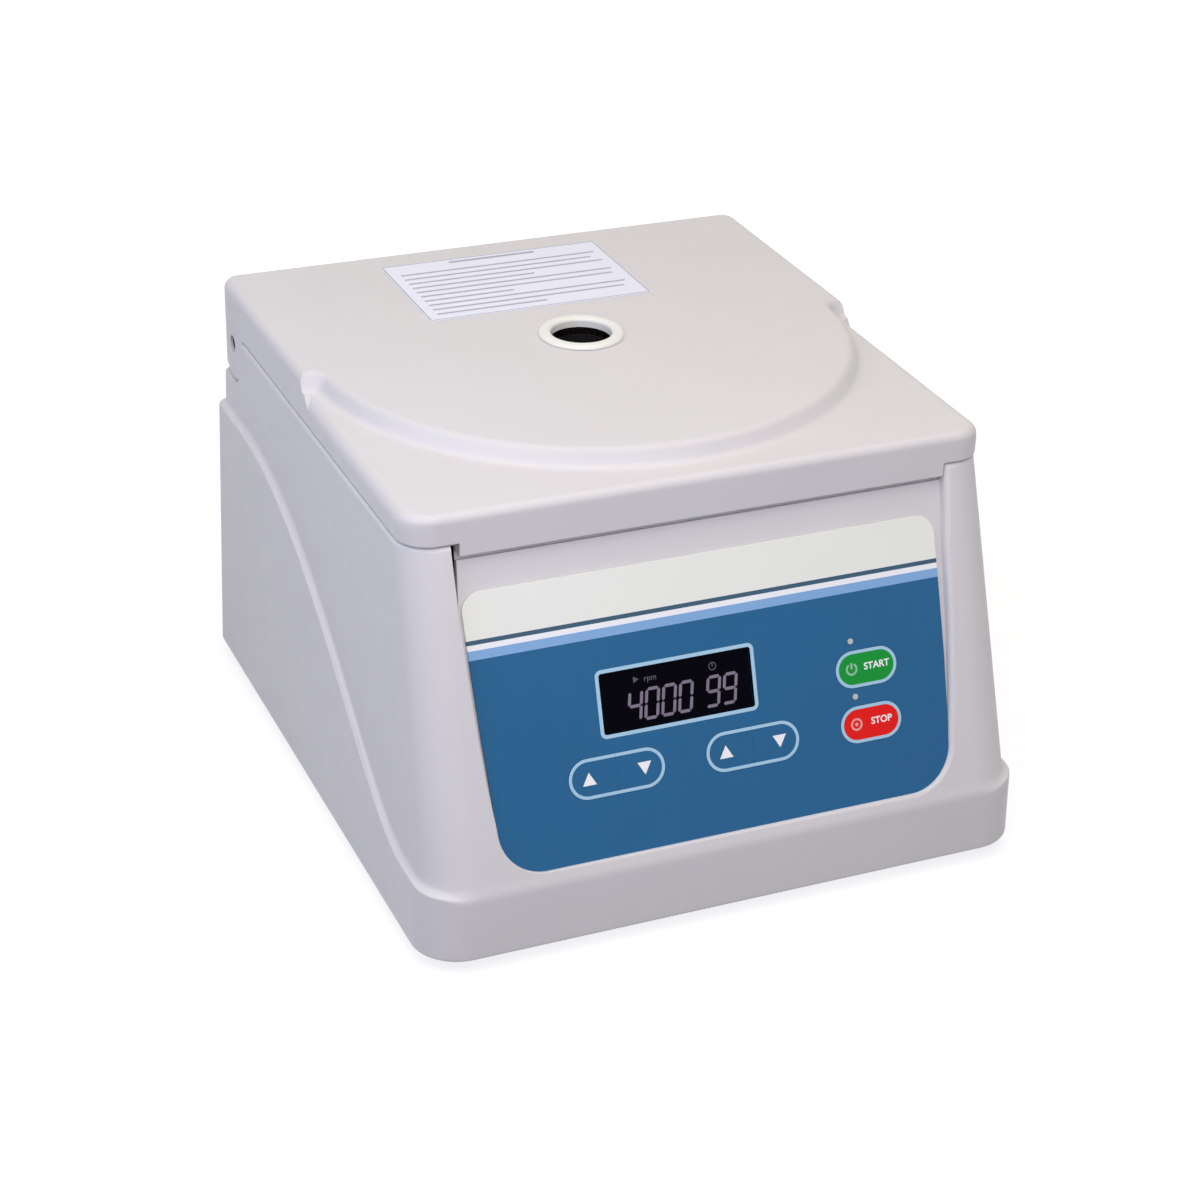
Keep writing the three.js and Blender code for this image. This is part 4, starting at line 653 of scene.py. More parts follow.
def housing_skin():
    """The housing's outside: the plinth below its swept line, the drawn-in body above it."""
    columns = outline_columns()
    levels = [("foot", SHELL_Z + FOOT_ROUNDING * (1 - math.cos(a)), FOOT_ROUNDING * (1 - math.sin(a)))
              for a in turns(90, 6)[:-1]]
    levels += [("plinth", s, 0) for s in spread(0, 1, PLINTH_ROWS)]
    levels += [("step", row, 0) for row in range(len(STEP_SHARES))]
    levels += [("body", s, 0) for s in spread(0, 1, BODY_ROWS)[1:]]
    levels += [("deck", DECK_Z - DECK_ROUNDING * (1 - math.sin(a)), DECK_ROUNDING * (1 - math.cos(a)))
               for a in turns(90, 4)]

    def plinth_point(place, z, inset=0):
        half = body_half(z) + PLINTH_STEP - inset
        return outline_column(place, half, FRONT_Y + inset, PLINTH_CORNER, BACK_Y - inset)

    def body_point(place, z, inset=0):
        return outline_column(place, body_half(z) - inset, pillar_y(z) + inset, body_corner(z),
                              BACK_Y - BACK_STEP - inset)

    lines = []
    for place in columns:
        line, slope = swoosh(plinth_point(place, PLINTH_TOP_Z)[1])
        lines.append((line, step_section(place, slope)))
    rings = []
    for kind, first, second in levels:
        ring = []
        for place, (line, section) in zip(columns, lines):
            low = line + section[0][1]
            high = line + section[-1][1]
            if kind == "foot":
                z = first
                x, y = plinth_point(place, z, second)
            elif kind == "plinth":
                z = SHELL_Z + FOOT_ROUNDING + (low - SHELL_Z - FOOT_ROUNDING) * first
                x, y = plinth_point(place, z)
            elif kind == "step":
                out, rise = section[first]
                z = line + rise
                x0, y0 = body_point(place, z)
                x1, y1 = plinth_point(place, z)
                x, y = x0 + (x1 - x0) * out, y0 + (y1 - y0) * out
            elif kind == "body":
                z = high + (DECK_Z - DECK_ROUNDING - high) * first
                x, y = body_point(place, z)
            else:
                z = first
                x, y = body_point(place, z, second)
            ring.append((x, y, z))
        rings.append(ring)
    return skin(rings)


def cavity_ring(z):
    field_y = FIELD_FOOT_Y + WALL / math.cos(FIELD_LEAN) + (z - PLINTH_TOP_Z) * math.tan(FIELD_LEAN)
    front = max(field_y, FRONT_Y + WALL)
    half = body_half(max(z, SHELL_Z)) - WALL
    return level(rounded(half, front, BACK_Y - BACK_STEP - WALL, BODY_TOP_CORNER, BACK_CORNER - WALL, steps=5), z)


def inset_outline(points, inset):
    """A counter-clockwise outline's points moved inwards along their corners' middle lines."""
    shifted = []
    for i, point in enumerate(points):
        before = Vector(point) - Vector(points[i - 1])
        after = Vector(points[(i + 1) % len(points)]) - Vector(point)
        normal = Vector((-before.y, before.x)).normalized() + Vector((-after.y, after.x)).normalized()
        shifted.append(tuple(Vector(point) + normal.normalized() * inset))
    return shifted


def mirrored(make):
    return [make(sign) for sign in (-1, 1)]


def span(a, b):
    return (a, b) if a < b else (b, a)


def hinge_rod(radius, start, end, sides=SMALL_SIDES):
    """A round bar along the hinge's line, between two places along X."""
    return rod(radius, (start, HINGE_Y, HINGE_Z), (end, HINGE_Y, HINGE_Z), sides)


def hinge_stock():
    """What the inner space leaves solid round the hinge."""
    floor = REAR_LEDGE_Z - WALL
    inner = EAR_INNER_X - MOVING_GAP

    def ear(sign):
        x0, x1 = span(sign * (inner - WALL), sign * (PLINTH_HALF + OVERRUN))
        return block((x0, HINGE_Y - EAR_RADIUS - MOVING_GAP - WALL, floor), (x1, BACK_Y, SEAM_Z))

    side = PLINTH_HALF + OVERRUN
    stock = block((-side, NOTCH_Y - WALL, floor), (side, BACK_Y, SEAM_Z))
    return join(stock, hinge_rod(ROLL_RADIUS, -inner, inner, 64), *mirrored(ear))


def hinge_cuts():
    """The space that the lid's rear wall and ears turn in."""
    side = PLINTH_HALF + OVERRUN
    inner = EAR_INNER_X - MOVING_GAP
    swing = EAR_RADIUS + MOVING_GAP
    rear = block((-side, NOTCH_Y, REAR_LEDGE_Z), (side, BACK_Y + OVERRUN, SEAM_Z + OVERRUN))
    roll = hinge_rod(ROLL_RADIUS, -inner, inner, 64)
    neck = block((-inner, HINGE_Y - ROLL_RADIUS, HINGE_Z), (inner, HINGE_Y, DECK_Z))
    ears = mirrored(lambda sign: hinge_rod(swing, sign * inner, sign * side, 72))
    return [cut(rear, roll, neck), *ears]


def panel_matrix():
    """From the field's frame, x across, y up the slope and z out of it, to the object's."""
    lean = FIELD_LEAN
    return Matrix((
        (1, 0, 0, 0),
        (0, math.sin(lean), -math.cos(lean), FIELD_FOOT_Y * MM),
        (0, math.cos(lean), math.sin(lean), PLINTH_TOP_Z * MM),
        (0, 0, 0, 1),
    ))


PANEL = panel_matrix()


def on_panel(piece):
    return moved(piece, PANEL)


# Edges of the film and of the sunk field: place up the slope, reach to the left and reach to the right
FILM_EDGES = [(0, 113, 109.8), (37, 113, 111), (65, 114.6, 112), (96, 115.9, 112.2), (125, 116.8, 112.2)]
FIELD_EDGES = [(26, 112.8, 110.3), (50, 115.4, 112.7), (80, 117.4, 114.6), (119, 119.2, 116.1), (148, 119.6, 118.2)]


def reach(edges, x, v):
    """How far an edge reaches on x's side at a place up the slope."""
    side = 1 if x < 0 else 2
    for low, high in zip(edges, edges[1:]):
        if v < high[0]:
            share = max(v - low[0], 0) / (high[0] - low[0])
            return low[side] + (high[side] - low[side]) * share
    return edges[-1][side]


def drawn_to(edges, right, half, grow=0):
    """The outline of a right side and its mirror image, with the sides at half drawn to the edges."""
    outline = [*right, *[(-x, v) for x, v in reversed(right)]]
    return [(x * (reach(edges, x, v) + grow) / (half + grow), v) for x, v in outline]


def field_outline(grow):
    """The field's edge, which keeps close to the film's lower corners and opens out above them."""
    foot = FILM_FOOT - FIELD_MARGIN
    radius = OVERLAY_BOTTOM_CORNER + FIELD_MARGIN
    half = OVERLAY_HALF + FIELD_MARGIN
    right = arc((half - radius, foot + radius), radius + grow, 270, 360, 20)
    right += [(half + grow, v) for v in spread(foot + radius, FIELD_LENGTH, 24)[1:]]
    right += [(half + grow, FIELD_LENGTH), (half + grow, FIELD_LENGTH + OVERRUN * 2)]
    return drawn_to(FIELD_EDGES, right, half, grow)


def pillar_rise(v):
    """How far the pillars' plane stands out from the field's, at a place up the slope."""
    z = PLINTH_TOP_Z + v * math.cos(FIELD_LEAN)
    y = FIELD_FOOT_Y + v * math.sin(FIELD_LEAN)
    return (y - (PILLAR_FOOT_Y + PILLAR_SLOPE * (z - PLINTH_TOP_Z))) / (
        math.cos(FIELD_LEAN) + PILLAR_SLOPE * math.sin(FIELD_LEAN))


def field_tool():
    """The sunk field's cutter, which leaves a rounded rim on the pillars."""
    def ring(grow_share, depth_share, lift=0):
        points = []
        for (x, v), (x1, v1) in zip(field_outline(0), field_outline(FIELD_RIM_RIGHT)):
            rise = pillar_rise(v)
            lean = (x / OVERLAY_HALF + 1) / 2
            rim = min(FIELD_RIM_LEFT + (FIELD_RIM_RIGHT - FIELD_RIM_LEFT) * lean, rise * RIM_SHARE)
            share = grow_share * rim / FIELD_RIM_RIGHT
            points.append((x + (x1 - x) * share, v + (v1 - v) * share, rise - rim * depth_share + lift))
        return points

    rings = [level(field_outline(0), 0)]
    rings += [ring(1 - math.cos(a), 1 - math.sin(a)) for a in turns(RIM_TURN, 6)]
    rings.append(ring(1 - math.cos(math.radians(RIM_TURN)), 0, OVERRUN * 2))
    return on_panel(skin(rings))


def shadow_gaps():
    """Cutters for the dark lines beside and below the lid's skirt."""
    top = FIELD_LENGTH + 0.6
    below = [(-118, top - 3.6), (118, top - 3.6), (118, top), (-118, top)]
    end = top + OVERRUN / 4
    beside = [(-118.9, 124), (-117.8, 124), (-116.6, 138), (-115.6, end), (-119.6, end)]
    return [on_panel(plate(outline, -depth, OVERRUN / 6)) for outline, depth in ((below, 2.5), (beside, 8))]


def on_film(across, up):
    """A place on the film, as shares of its width and length from its middle."""
    return (across * OVERLAY_HALF * 2, OVERLAY_MIDDLE + up * OVERLAY_LENGTH)


DISPLAY_PLACE = on_film(-0.0898, 0.038)
DISPLAY_SIZE = (69, 25)
PAIR_SIZE = (46.1, 18.5)
RUN_SIZE = (31, 17.3)
LED_RADIUS = 1.4
LED_ABOVE_KEY = 4.4
LED_BELOW_KEY = 4
LED_SIDE = 6.7
RUN_PITCH = RUN_SIZE[1] + LED_ABOVE_KEY + LED_BELOW_KEY
SPEED_PLACE = on_film(-0.2396, -0.212)
TIME_PLACE = on_film(0.0533, -0.212)
STOP_PLACE = on_film(0.3173, -0.21)
START_PLACE = (STOP_PLACE[0], STOP_PLACE[1] + RUN_PITCH)
STOP_LED = (STOP_PLACE[0] - LED_SIDE, STOP_PLACE[1] + RUN_SIZE[1] / 2 + LED_ABOVE_KEY)
START_LED = (STOP_LED[0], STOP_LED[1] + RUN_PITCH)
KEYS = [
    ("speed_up_key", SPEED_PLACE, PAIR_SIZE, -1),
    ("speed_down_key", SPEED_PLACE, PAIR_SIZE, 1),
    ("time_up_key", TIME_PLACE, PAIR_SIZE, -1),
    ("time_down_key", TIME_PLACE, PAIR_SIZE, 1),
    ("start_key", START_PLACE, RUN_SIZE, 0),
    ("stop_key", STOP_PLACE, RUN_SIZE, 0),
]


def rectangle(place, size, grow=0, radius=0.01, steps=4):
    return rounded(size[0] / 2 + grow, place[1] - size[1] / 2 - grow, place[1] + size[1] / 2 + grow,
                   radius, middle=place[0], steps=steps)


def capsule(place, size, grow=0):
    radius = size[1] / 2 + grow
    return rounded(size[0] / 2 + grow, place[1] - radius, place[1] + radius, radius * 0.999, middle=place[0])


def rear_tools():
    """Cutters for the pocket, the inlet's and the switch's openings in it, and the vents."""
    def through(x, width, height):
        return block((x - width / 2 - GAP, POCKET_FLOOR_Y - WALL - OVERRUN, POCKET_Z - height / 2 - GAP),
                     (x + width / 2 + GAP, BACK_Y + OVERRUN, POCKET_Z + height / 2 + GAP))

    pocket = rounded(POCKET_HALF, POCKET_Z - POCKET_HALF_HEIGHT, POCKET_Z + POCKET_HALF_HEIGHT, 3, steps=6)
    tools = [upright(pocket, BACK_Y + OVERRUN, POCKET_FLOOR_Y), through(*INLET), through(*SWITCH)]
    for i in range(VENTS):
        outline = rounded(VENT_HALF, SHELL_Z + VENT_REACH[0], SHELL_Z + VENT_REACH[1], VENT_HALF - 0.01,
                          middle=(i - (VENTS - 1) / 2) * VENT_PITCH, steps=6)
        tools.append(upright(outline, BACK_Y + OVERRUN, BACK_Y - OVERRUN))
    return tools


LATCH_Y = LID_FRONT_Y + 21
SLOT_HALF, SLOT_REACH, SLOT_CORNER = 4.25, 9.5, 1.2
HOLE_EASE = 0.6


def relief_holes():
    """Cutters for the small hole at the seam's rear end on both sides."""
    radius, y, z = RELIEF
    near, far = LID_HALF - WALL * 0.9, LID_HALF + OVERRUN
    return mirrored(lambda sign: rod(radius, (sign * near, y, z), (sign * far, y, z), 20))


def housing():
    shell = housing_skin()
    cavity = skin([cavity_ring(z) for z in (
        SHELL_Z - OVERRUN,
        PLINTH_TOP_Z + (FRONT_Y + WALL - FIELD_FOOT_Y - WALL / math.cos(FIELD_LEAN)) / math.tan(FIELD_LEAN),
        DECK_Z - WALL,
    )])
    pocket_back = block((-POCKET_HALF - WALL, POCKET_FLOOR_Y - WALL, POCKET_Z - POCKET_HALF_HEIGHT - WALL),
                        (POCKET_HALF + WALL, BACK_Y, POCKET_Z + POCKET_HALF_HEIGHT + WALL))
    cut(cavity, hinge_stock(), pocket_back)
    cut(shell, cavity)
    hole = BOWL_RADIUS + BOWL_WALL + GAP
    deck_hole = turned([
        (0.01, DECK_Z - OVERRUN), (hole, DECK_Z - OVERRUN), (hole, DECK_Z - HOLE_EASE),
        *[(hole + HOLE_EASE - HOLE_EASE * math.cos(a), DECK_Z - HOLE_EASE + HOLE_EASE * math.sin(a))
          for a in (0.5, 1.0, 1.4)],
        (hole + HOLE_EASE, DECK_Z + OVERRUN), (0.01, DECK_Z + OVERRUN),
    ], sides=BOWL_SIDES, at=CENTRE)
    slot = plate(rounded(SLOT_HALF, LATCH_Y - SLOT_REACH, LATCH_Y + SLOT_REACH, SLOT_CORNER, steps=4),
                 DECK_Z - OVERRUN, DECK_Z + OVERRUN)
    window = on_panel(plate(rectangle(DISPLAY_PLACE, DISPLAY_SIZE, GAP), *THROUGH))
    stems = [circle(place[0] + half * size[0] / 4, place[1], STEM_RADIUS + GAP) for _, place, size, half in KEYS]
    lights = [circle(x, v, LED_RADIUS + GAP) for x, v in (START_LED, STOP_LED)]
    holes = [on_panel(plate(outline, *THROUGH)) for outline in stems + lights]
    pin_start = EAR_INNER_X - PIN_IN_BODY - GAP
    pins = mirrored(lambda sign: hinge_rod(PIN_RADIUS + GAP, sign * pin_start, sign * LID_HALF * 2))
    cut(shell, *relief_holes(), field_tool(), *shadow_gaps(), deck_hole, slot, window, *holes, *pins, *hinge_cuts(),
        *rear_tools())
    return finished(shell, "housing", shell_plastic, "housing", "housing_plastic", "housing_shell")


# Lid

def lid_rings(top, edge, inset=0):
    """The lid's outline, with its rounded foot and top edges."""
    def ring(z, drawn_in):
        over = z - top + LID_FRONT_EDGE
        if over > 0:
            front = LID_FRONT_EDGE - math.sqrt(LID_FRONT_EDGE**2 - over**2)
        else:
            front = drawn_in if z <= SEAM_Z + LID_FOOT_ROUNDING else 0
        drawn_in += inset
        return level(rounded(LID_HALF - drawn_in, LID_FRONT_Y + front + inset, BACK_Y - drawn_in,
                             LID_CORNER - drawn_in, max(BACK_CORNER - drawn_in, LEAST_CORNER)), z)

    foot = LID_FOOT_ROUNDING
    rings = [ring(SEAM_Z + foot * (1 - math.cos(a)), foot * (1 - math.sin(a))) for a in turns(90, 4)]
    edge -= inset * 0.6
    return rings + [ring(top - edge * (1 - math.sin(a)), edge * (1 - math.cos(a))) for a in turns(90, 10)]


def field_boundary(grow):
    """The raised field's edge: round the rotor in front, and straight across at each side."""
    radius = FIELD_RADIUS + grow
    out = grow - CREST
    line = REAR_FIELD_Y + CREST_SHIFT - out
    fillet = max(CORNER_FILLET - CORNER_TAPER * out, LEAST_FILLET)
    centre_y = line - fillet
    centre_x = math.sqrt((radius + fillet)**2 - (centre_y - ROTOR_Y)**2)
    touch = math.degrees(math.atan2(centre_y - ROTOR_Y, centre_x))
    far = LID_HALF + OVERRUN
    front = arc((0, ROTOR_Y), radius, -180 - touch, touch, 150)
    right = arc((centre_x, centre_y), fillet, 180 + touch, 90, 10)
    left = arc((-centre_x, centre_y), fillet, 90, -touch, 10)
    back = BACK_Y + OVERRUN
    return [(-far, back), (-far, line), *left, *front, *right, (far, line), (far, back)]


def field_profile():
    """The raised field's edge in section: how far out, and how high."""
    half = FIELD_SLOPE / 2
    steep = math.atan2(DECK_DROP, FIELD_SLOPE)
    tangent = FIELD_FILLET * math.tan(steep / 2)
    foot = [(half + tangent - FIELD_FILLET * math.sin(a), LID_DECK_Z + FIELD_FILLET * (1 - math.cos(a)))
            for a in [steep * k / 7 for k in range(8)]]
    head = [(-half - tangent + FIELD_FILLET * math.sin(a), LID_TOP_Z - FIELD_FILLET * (1 - math.cos(a)))
            for a in [steep * (7 - k) / 7 for k in range(8)]]
    return foot, head


def lid_blank(inset=0):
    deck = skin(lid_rings(LID_DECK_Z - inset, LID_EDGE, inset))
    full = skin(lid_rings(LID_TOP_Z - inset, RAISED_EDGE, inset))
    foot, head = field_profile()
    toe = foot[0][0] + FOOT_RUN
    levels = [(toe + FOOT_FLARE, LID_DECK_Z - LID_EDGE), (toe, LID_DECK_Z - 0.05), *foot[1:],
              *head[:-1], (head[-1][0] - CREST_RUN, LID_TOP_Z + 0.03)]
    rings = [level(field_boundary(levels[0][0] - inset), SEAM_Z - OVERRUN)]
    rings += [level(field_boundary(out - inset), z - inset) for out, z in levels]
    rings.append(level(field_boundary(levels[-1][0] - inset), LID_TOP_Z + OVERRUN))
    combine(full, "INTERSECT", skin(rings))
    return join(deck, full)


def ear_profile():
    top = SEAM_Z + WALL
    rear = arc((HINGE_Y, HINGE_Z), EAR_RADIUS, 0, -204, 48)
    return [*rear, (rear[-1][0], top), (BACK_Y, top)][::-1]


def lid_ear(sign):
    profile = ear_profile()
    x0, x1, ease, step = EAR_INNER_X, LID_HALF, EAR_EASE, 0.26
    rings = []
    for x, inset in ((x0, ease), (x0 + step, step), (x0 + ease, 0), (x1 - ease, 0), (x1 - step, step), (x1, ease)):
        rings.append([(sign * x, y, z) for y, z in inset_outline(profile, inset)])
    column = plate(rounded(LID_HALF, LID_FRONT_Y, BACK_Y, LID_CORNER, BACK_CORNER), SHELL_Z, LID_DECK_Z)
    return combine(skin(rings), "INTERSECT", column)


def lid():
    shell = lid_blank()
    room = lid_blank(WALL)
    well = plate(rounded(LID_HALF - WALL, LID_FRONT_Y + WALL, BACK_Y - WALL, LID_CORNER - WALL, BACK_CORNER - WALL),
                 SEAM_Z - OVERRUN, SEAM_Z + WALL)
    cut(shell, join(room, well))
    rear_wall = block((-EAR_INNER_X - WALL, BACK_Y - WALL, HINGE_Z), (EAR_INNER_X + WALL, BACK_Y, SEAM_Z + WALL))
    skirt = sideways([
        *arc((LID_FRONT_Y + SKIRT_LIP, SKIRT_Z + SKIRT_LIP), SKIRT_LIP, 180, 270, 8),
        (LID_FRONT_Y + WALL, SKIRT_Z), (LID_FRONT_Y + WALL, SEAM_Z + WALL), (LID_FRONT_Y, SEAM_Z + WALL),
    ], SKIRT_GAP_LEFT - FIELD_HALF_TOP, FIELD_HALF_TOP - SKIRT_GAP_RIGHT)
    join(shell, rear_wall, skirt, *mirrored(lid_ear))
    sight = plate(circle(0, ROTOR_Y, RING_NECK + GAP, 64), SEAM_Z, LID_TOP_Z + OVERRUN)
    pins = mirrored(lambda sign: hinge_rod(PIN_HOLE, 0, sign * LID_HALF * 2))
    cut(shell, sight, *pins, *relief_holes())
    return finished(shell, "lid", shell_plastic, "lid", "lid_plastic", "lid_shell")


RING_OUTER = 20.5
RING_INNER = 14.5
RING_NECK = 17.2
RING_DEPTH = 2.6
COLLAR_DEPTH = 6.5


def sight_ring():
    """The bead round the sight hole, on a black tube that is painted shade for the hole's deep dark, with a brighter
    metal collar under the bead whose darkened, blotchy colour paints shade among its real glints.
    """
    base = LID_TOP_Z + GAP
    rise = RING_TOP_Z - base
    middle, half = (RING_OUTER + RING_INNER) / 2, (RING_OUTER - RING_INNER) / 2
    bead = [(middle + half * math.cos(a), base + rise * math.sin(a) ** 0.8) for a in turns(180, 16)]
    collar_z = base - RING_DEPTH
    tube_z = base - COLLAR_DEPTH
    ring = turned([(RING_NECK, collar_z), (RING_NECK, base), *bead, (RING_INNER, collar_z)], at=CENTRE)
    collar = turned([(RING_INNER + 0.2, tube_z), (RING_NECK, tube_z), (RING_NECK, collar_z),
                     (RING_INNER + 0.2, collar_z)], at=CENTRE)
    # The tube's black is painted shade: it darkens the deep lower part of the sight hole.
    tube = turned([(RING_INNER - 2, LINER_Z), (RING_NECK, LINER_Z), (RING_NECK, tube_z), (RING_INNER, tube_z),
                   (RING_INNER, LINER_TOP_Z), (RING_INNER - 2, LINER_TOP_Z)], at=CENTRE)
    finished(ring, "sight_ring_bead", ring_plastic, "lid", "ring_plastic", "sight_ring")
    finished(collar, "sight_ring_collar", collar_metal, "lid", "steel_plate")
    finished(tube, "sight_ring_painted_shade_tube", black_plastic, "lid", "module_black")


def sight_lens():
    low, high = corners("sight_lens")
    radius = RING_INNER - GAP
    ease = 0.4
    profile = [(0.01, low[2]), (radius - ease, low[2]), (radius, low[2] + ease), (radius, high[2] - ease),
               (radius - ease, high[2]), (0.01, high[2])]
    piece = turned(profile, sides=72, at=CENTRE)
    return finished(piece, "sight_lens_disc", lens_glass, "lid", "lens", "sight_lens")


# Panel film, display and keys

INK = 0.05
FRAME_PLACE = (-21.5, 72.3)
FRAME_SIZE = (76.6, 30.9)
FRAME_CORNER = 3
FRAME_WIDTH = 1.7
OUTLINE_WIDTH = 1.45
SKY_FROM, WHITE_FROM, TEAL_FROM, CREAM_FROM = 102, 106.1, 108.6, 110.6


def film_outline():
    low, high = OVERLAY_BOTTOM_CORNER, OVERLAY_TOP_CORNER
    half = OVERLAY_HALF
    right = [
        *arc((half - low, FILM_FOOT + low), low, -90, 0, 20),
        *[(half, v) for v, _, _ in FILM_EDGES[1:-1]],
        *arc((half - high, OVERLAY_TOP - high), high, 0, 90),
    ]
    return drawn_to(FILM_EDGES, right, half)


def painted_bands(piece, paints, borders):
    """Splits a flat piece across its slope at the borders and paints each band."""
    work = bmesh.new()
    work.from_mesh(piece.data)
    for border in borders:
        bmesh.ops.bisect_plane(work, geom=work.verts[:] + work.edges[:] + work.faces[:],
                               plane_co=(0, border * MM, 0), plane_no=(0, 1, 0))
    piece.data.materials.clear()
    for material in paints:
        piece.data.materials.append(material)
    for face in work.faces:
        face.material_index = sum(face.calc_center_median().y > border * MM for border in borders)
    work.to_mesh(piece.data)
    work.free()
    return piece


def panel_film():
    film = soft_plate(film_outline(), GAP, FILM_TOP, 0.2)
    holes = [plate(rectangle(DISPLAY_PLACE, DISPLAY_SIZE, 0.1), 0, KEY_TOP)]
    holes += [plate(capsule(place, size, 0.06), 0, KEY_TOP)
              for place, size in ((SPEED_PLACE, PAIR_SIZE), (TIME_PLACE, PAIR_SIZE), (START_PLACE, RUN_SIZE),
                                  (STOP_PLACE, RUN_SIZE))]
    holes += [plate(circle(x, v, LED_RADIUS + 0.1), 0, KEY_TOP) for x, v in (START_LED, STOP_LED)]
    cut(film, *holes)
    painted_bands(film, [film_blue, film_sky, film_white, film_teal, film_cream],
                  [SKY_FROM, WHITE_FROM, TEAL_FROM, CREAM_FROM])
    finished(on_panel(film), "panel_film", None, "housing", "film_blue", "panel_overlay")
    outer = rectangle(FRAME_PLACE, FRAME_SIZE, 0, FRAME_CORNER, 10)
    inner = rectangle(FRAME_PLACE, FRAME_SIZE, -FRAME_WIDTH, FRAME_CORNER - FRAME_WIDTH, 10)
    rim = band(outer, inner, FILM_TOP, FILM_TOP + INK)
    finished(on_panel(rim), "display_outline", ink_pale, "housing", "film_blue")
    glass_edge = rectangle(DISPLAY_PLACE, DISPLAY_SIZE, steps=10)
    mask = band(inner, glass_edge, FILM_TOP, FILM_TOP + INK * 0.8)
    finished(on_panel(mask), "display_mask", display_glass, "housing", "display_black")


SEGMENTS = {"0": "abcdef", "4": "bcfg", "9": "abcdfg"}
DIGIT_WIDTH, DIGIT_HEIGHT = 5.7, 13
DIGIT_PITCH = 8.15
DIGIT_FOOT = 62.5
SPEED_LEFT, TIME_LEFT = -46, -8.2
SEGMENT_HALF = 0.7
DIGIT_SLANT = 0.15


def segment(start, end):
    """A bar with pointed ends."""
    start, end = Vector(start), Vector(end)
    along = (end - start).normalized()
    side = Vector((-along.y, along.x)) * SEGMENT_HALF
    tip = along * SEGMENT_HALF
    gap = along * SEGMENT_HALF * 0.25
    start, end = start + gap, end - gap
    points = [start, start + tip - side, end - tip - side, end, end - tip + side, start + tip + side]
    return [tuple(p) for p in points]


def digit_bars(digit, x, v):
    width, height = DIGIT_WIDTH, DIGIT_HEIGHT
    ends = {
        "a": ((0, height), (width, height)), "b": ((width, height), (width, height / 2)),
        "c": ((width, height / 2), (width, 0)), "d": ((0, 0), (width, 0)),
        "e": ((0, 0), (0, height / 2)), "f": ((0, height / 2), (0, height)),
        "g": ((0, height / 2), (width, height / 2)),
    }
    bars = []
    for name in SEGMENTS[digit]:
        bar = segment(*ends[name])
        bars.append([(x + px + pv * DIGIT_SLANT, v + pv) for px, pv in bar])
    return bars


def lettering(text, place, height, material, name, body, base, weight=0.0):
    """Plain capitals lying on the panel, height millimetres tall."""
    data = bpy.data.curves.new(name, "FONT")
    data.body = text
    data.align_x = "CENTER"
    data.align_y = "CENTER"
    data.size = height / 0.7
    data.offset = weight
    data.extrude = INK / 2
    data.resolution_u = 4
    letters = placed(name, data)
    bpy.context.view_layer.update()
    made = bpy.data.meshes.new_from_object(letters.evaluated_get(bpy.context.evaluated_depsgraph_get()))
    bpy.data.objects.remove(letters)
    lift = Matrix.Translation((place[0] * MM, place[1] * MM, (base + INK / 2) * MM))
    piece = moved(placed(name, made), PANEL @ lift @ Matrix.Scale(MM, 4))
    return finished(piece, name, material, body, "film_blue")


POINTER_PLACE = (-40.7, 80.7)
UNIT_PLACE, UNIT_HEIGHT = (-33.9, 80.4), 2.6
CLOCK_PLACE, CLOCK_RADIUS, CLOCK_WIDTH = (-3.7, 80.3), 1.9, 0.45


def printed(shapes, name, material, body="housing", slot="display_black", base=GLASS_TOP):
    """Flat marks lying on the panel."""
    return finished(on_panel(plates(shapes, base, base + INK)), name, material, body, slot)


def display():
    glass = soft_plate(rectangle(DISPLAY_PLACE, DISPLAY_SIZE), GAP - WALL, GLASS_TOP, 0.25)
    finished(on_panel(glass), "display_glass", display_glass, "housing", "display_black", "lcd_window",
             sharp_degrees=10)
    bars = []
    for left, number in ((SPEED_LEFT, "4000"), (TIME_LEFT, "99")):
        for i, digit in enumerate(number):
            bars += digit_bars(digit, left + i * DIGIT_PITCH, DIGIT_FOOT)
    printed(bars, "display_digits", display_ink)
    x, v = POINTER_PLACE
    printed([[(x - 1.2, v - 1.4), (x + 1.5, v), (x - 1.2, v + 1.4)]], "display_pointer", display_dim)
    lettering("rpm", UNIT_PLACE, UNIT_HEIGHT, display_dim, "display_unit", "housing", GLASS_TOP, 0.03)
    x, v = CLOCK_PLACE
    top = GLASS_TOP + INK
    dial = band(circle(x, v, CLOCK_RADIUS), circle(x, v, CLOCK_RADIUS - CLOCK_WIDTH), GLASS_TOP, top)
    join(dial, block((x - 0.25, v - 0.25, GLASS_TOP), (x + 0.25, v + 1.6, top)))
    finished(on_panel(dial), "display_clock", display_dim, "housing", "display_black")


def half_only(piece, place, half):
    """Keeps the left (-1) or right (1) half of a piece that lies across a key's middle."""
    x, v = place
    x0, x1 = span(x + half * PAD_INSET, x - half * PAIR_SIZE[0])
    return cut(piece, block((x0, v - PAIR_SIZE[0], -OVERRUN), (x1, v + PAIR_SIZE[0], OVERRUN)))


TRIANGLE = (6.6, 5.8)
ARROW_REACH = 13.3


def triangle(x, v, up):
    half, reach = TRIANGLE[0] / 2, up * TRIANGLE[1] / 2
    points = [(x - half, v - reach), (x + half, v - reach), (x, v + reach)]
    return points if up > 0 else points[::-1]


def key_pad(place, size, half):
    """A film key's pad, or the half of it on one side, with its stem."""
    pad = soft_plate(capsule(place, size, -PAD_INSET), KEY_TOP - KEY_THICK, PAD_TOP, PAD_EASE)
    if half:
        half_only(pad, place, half)
    return join(pad, plate(circle(place[0] + half * size[0] / 4, place[1], STEM_RADIUS),
                           STEM_FOOT, KEY_TOP - KEY_THICK / 2))


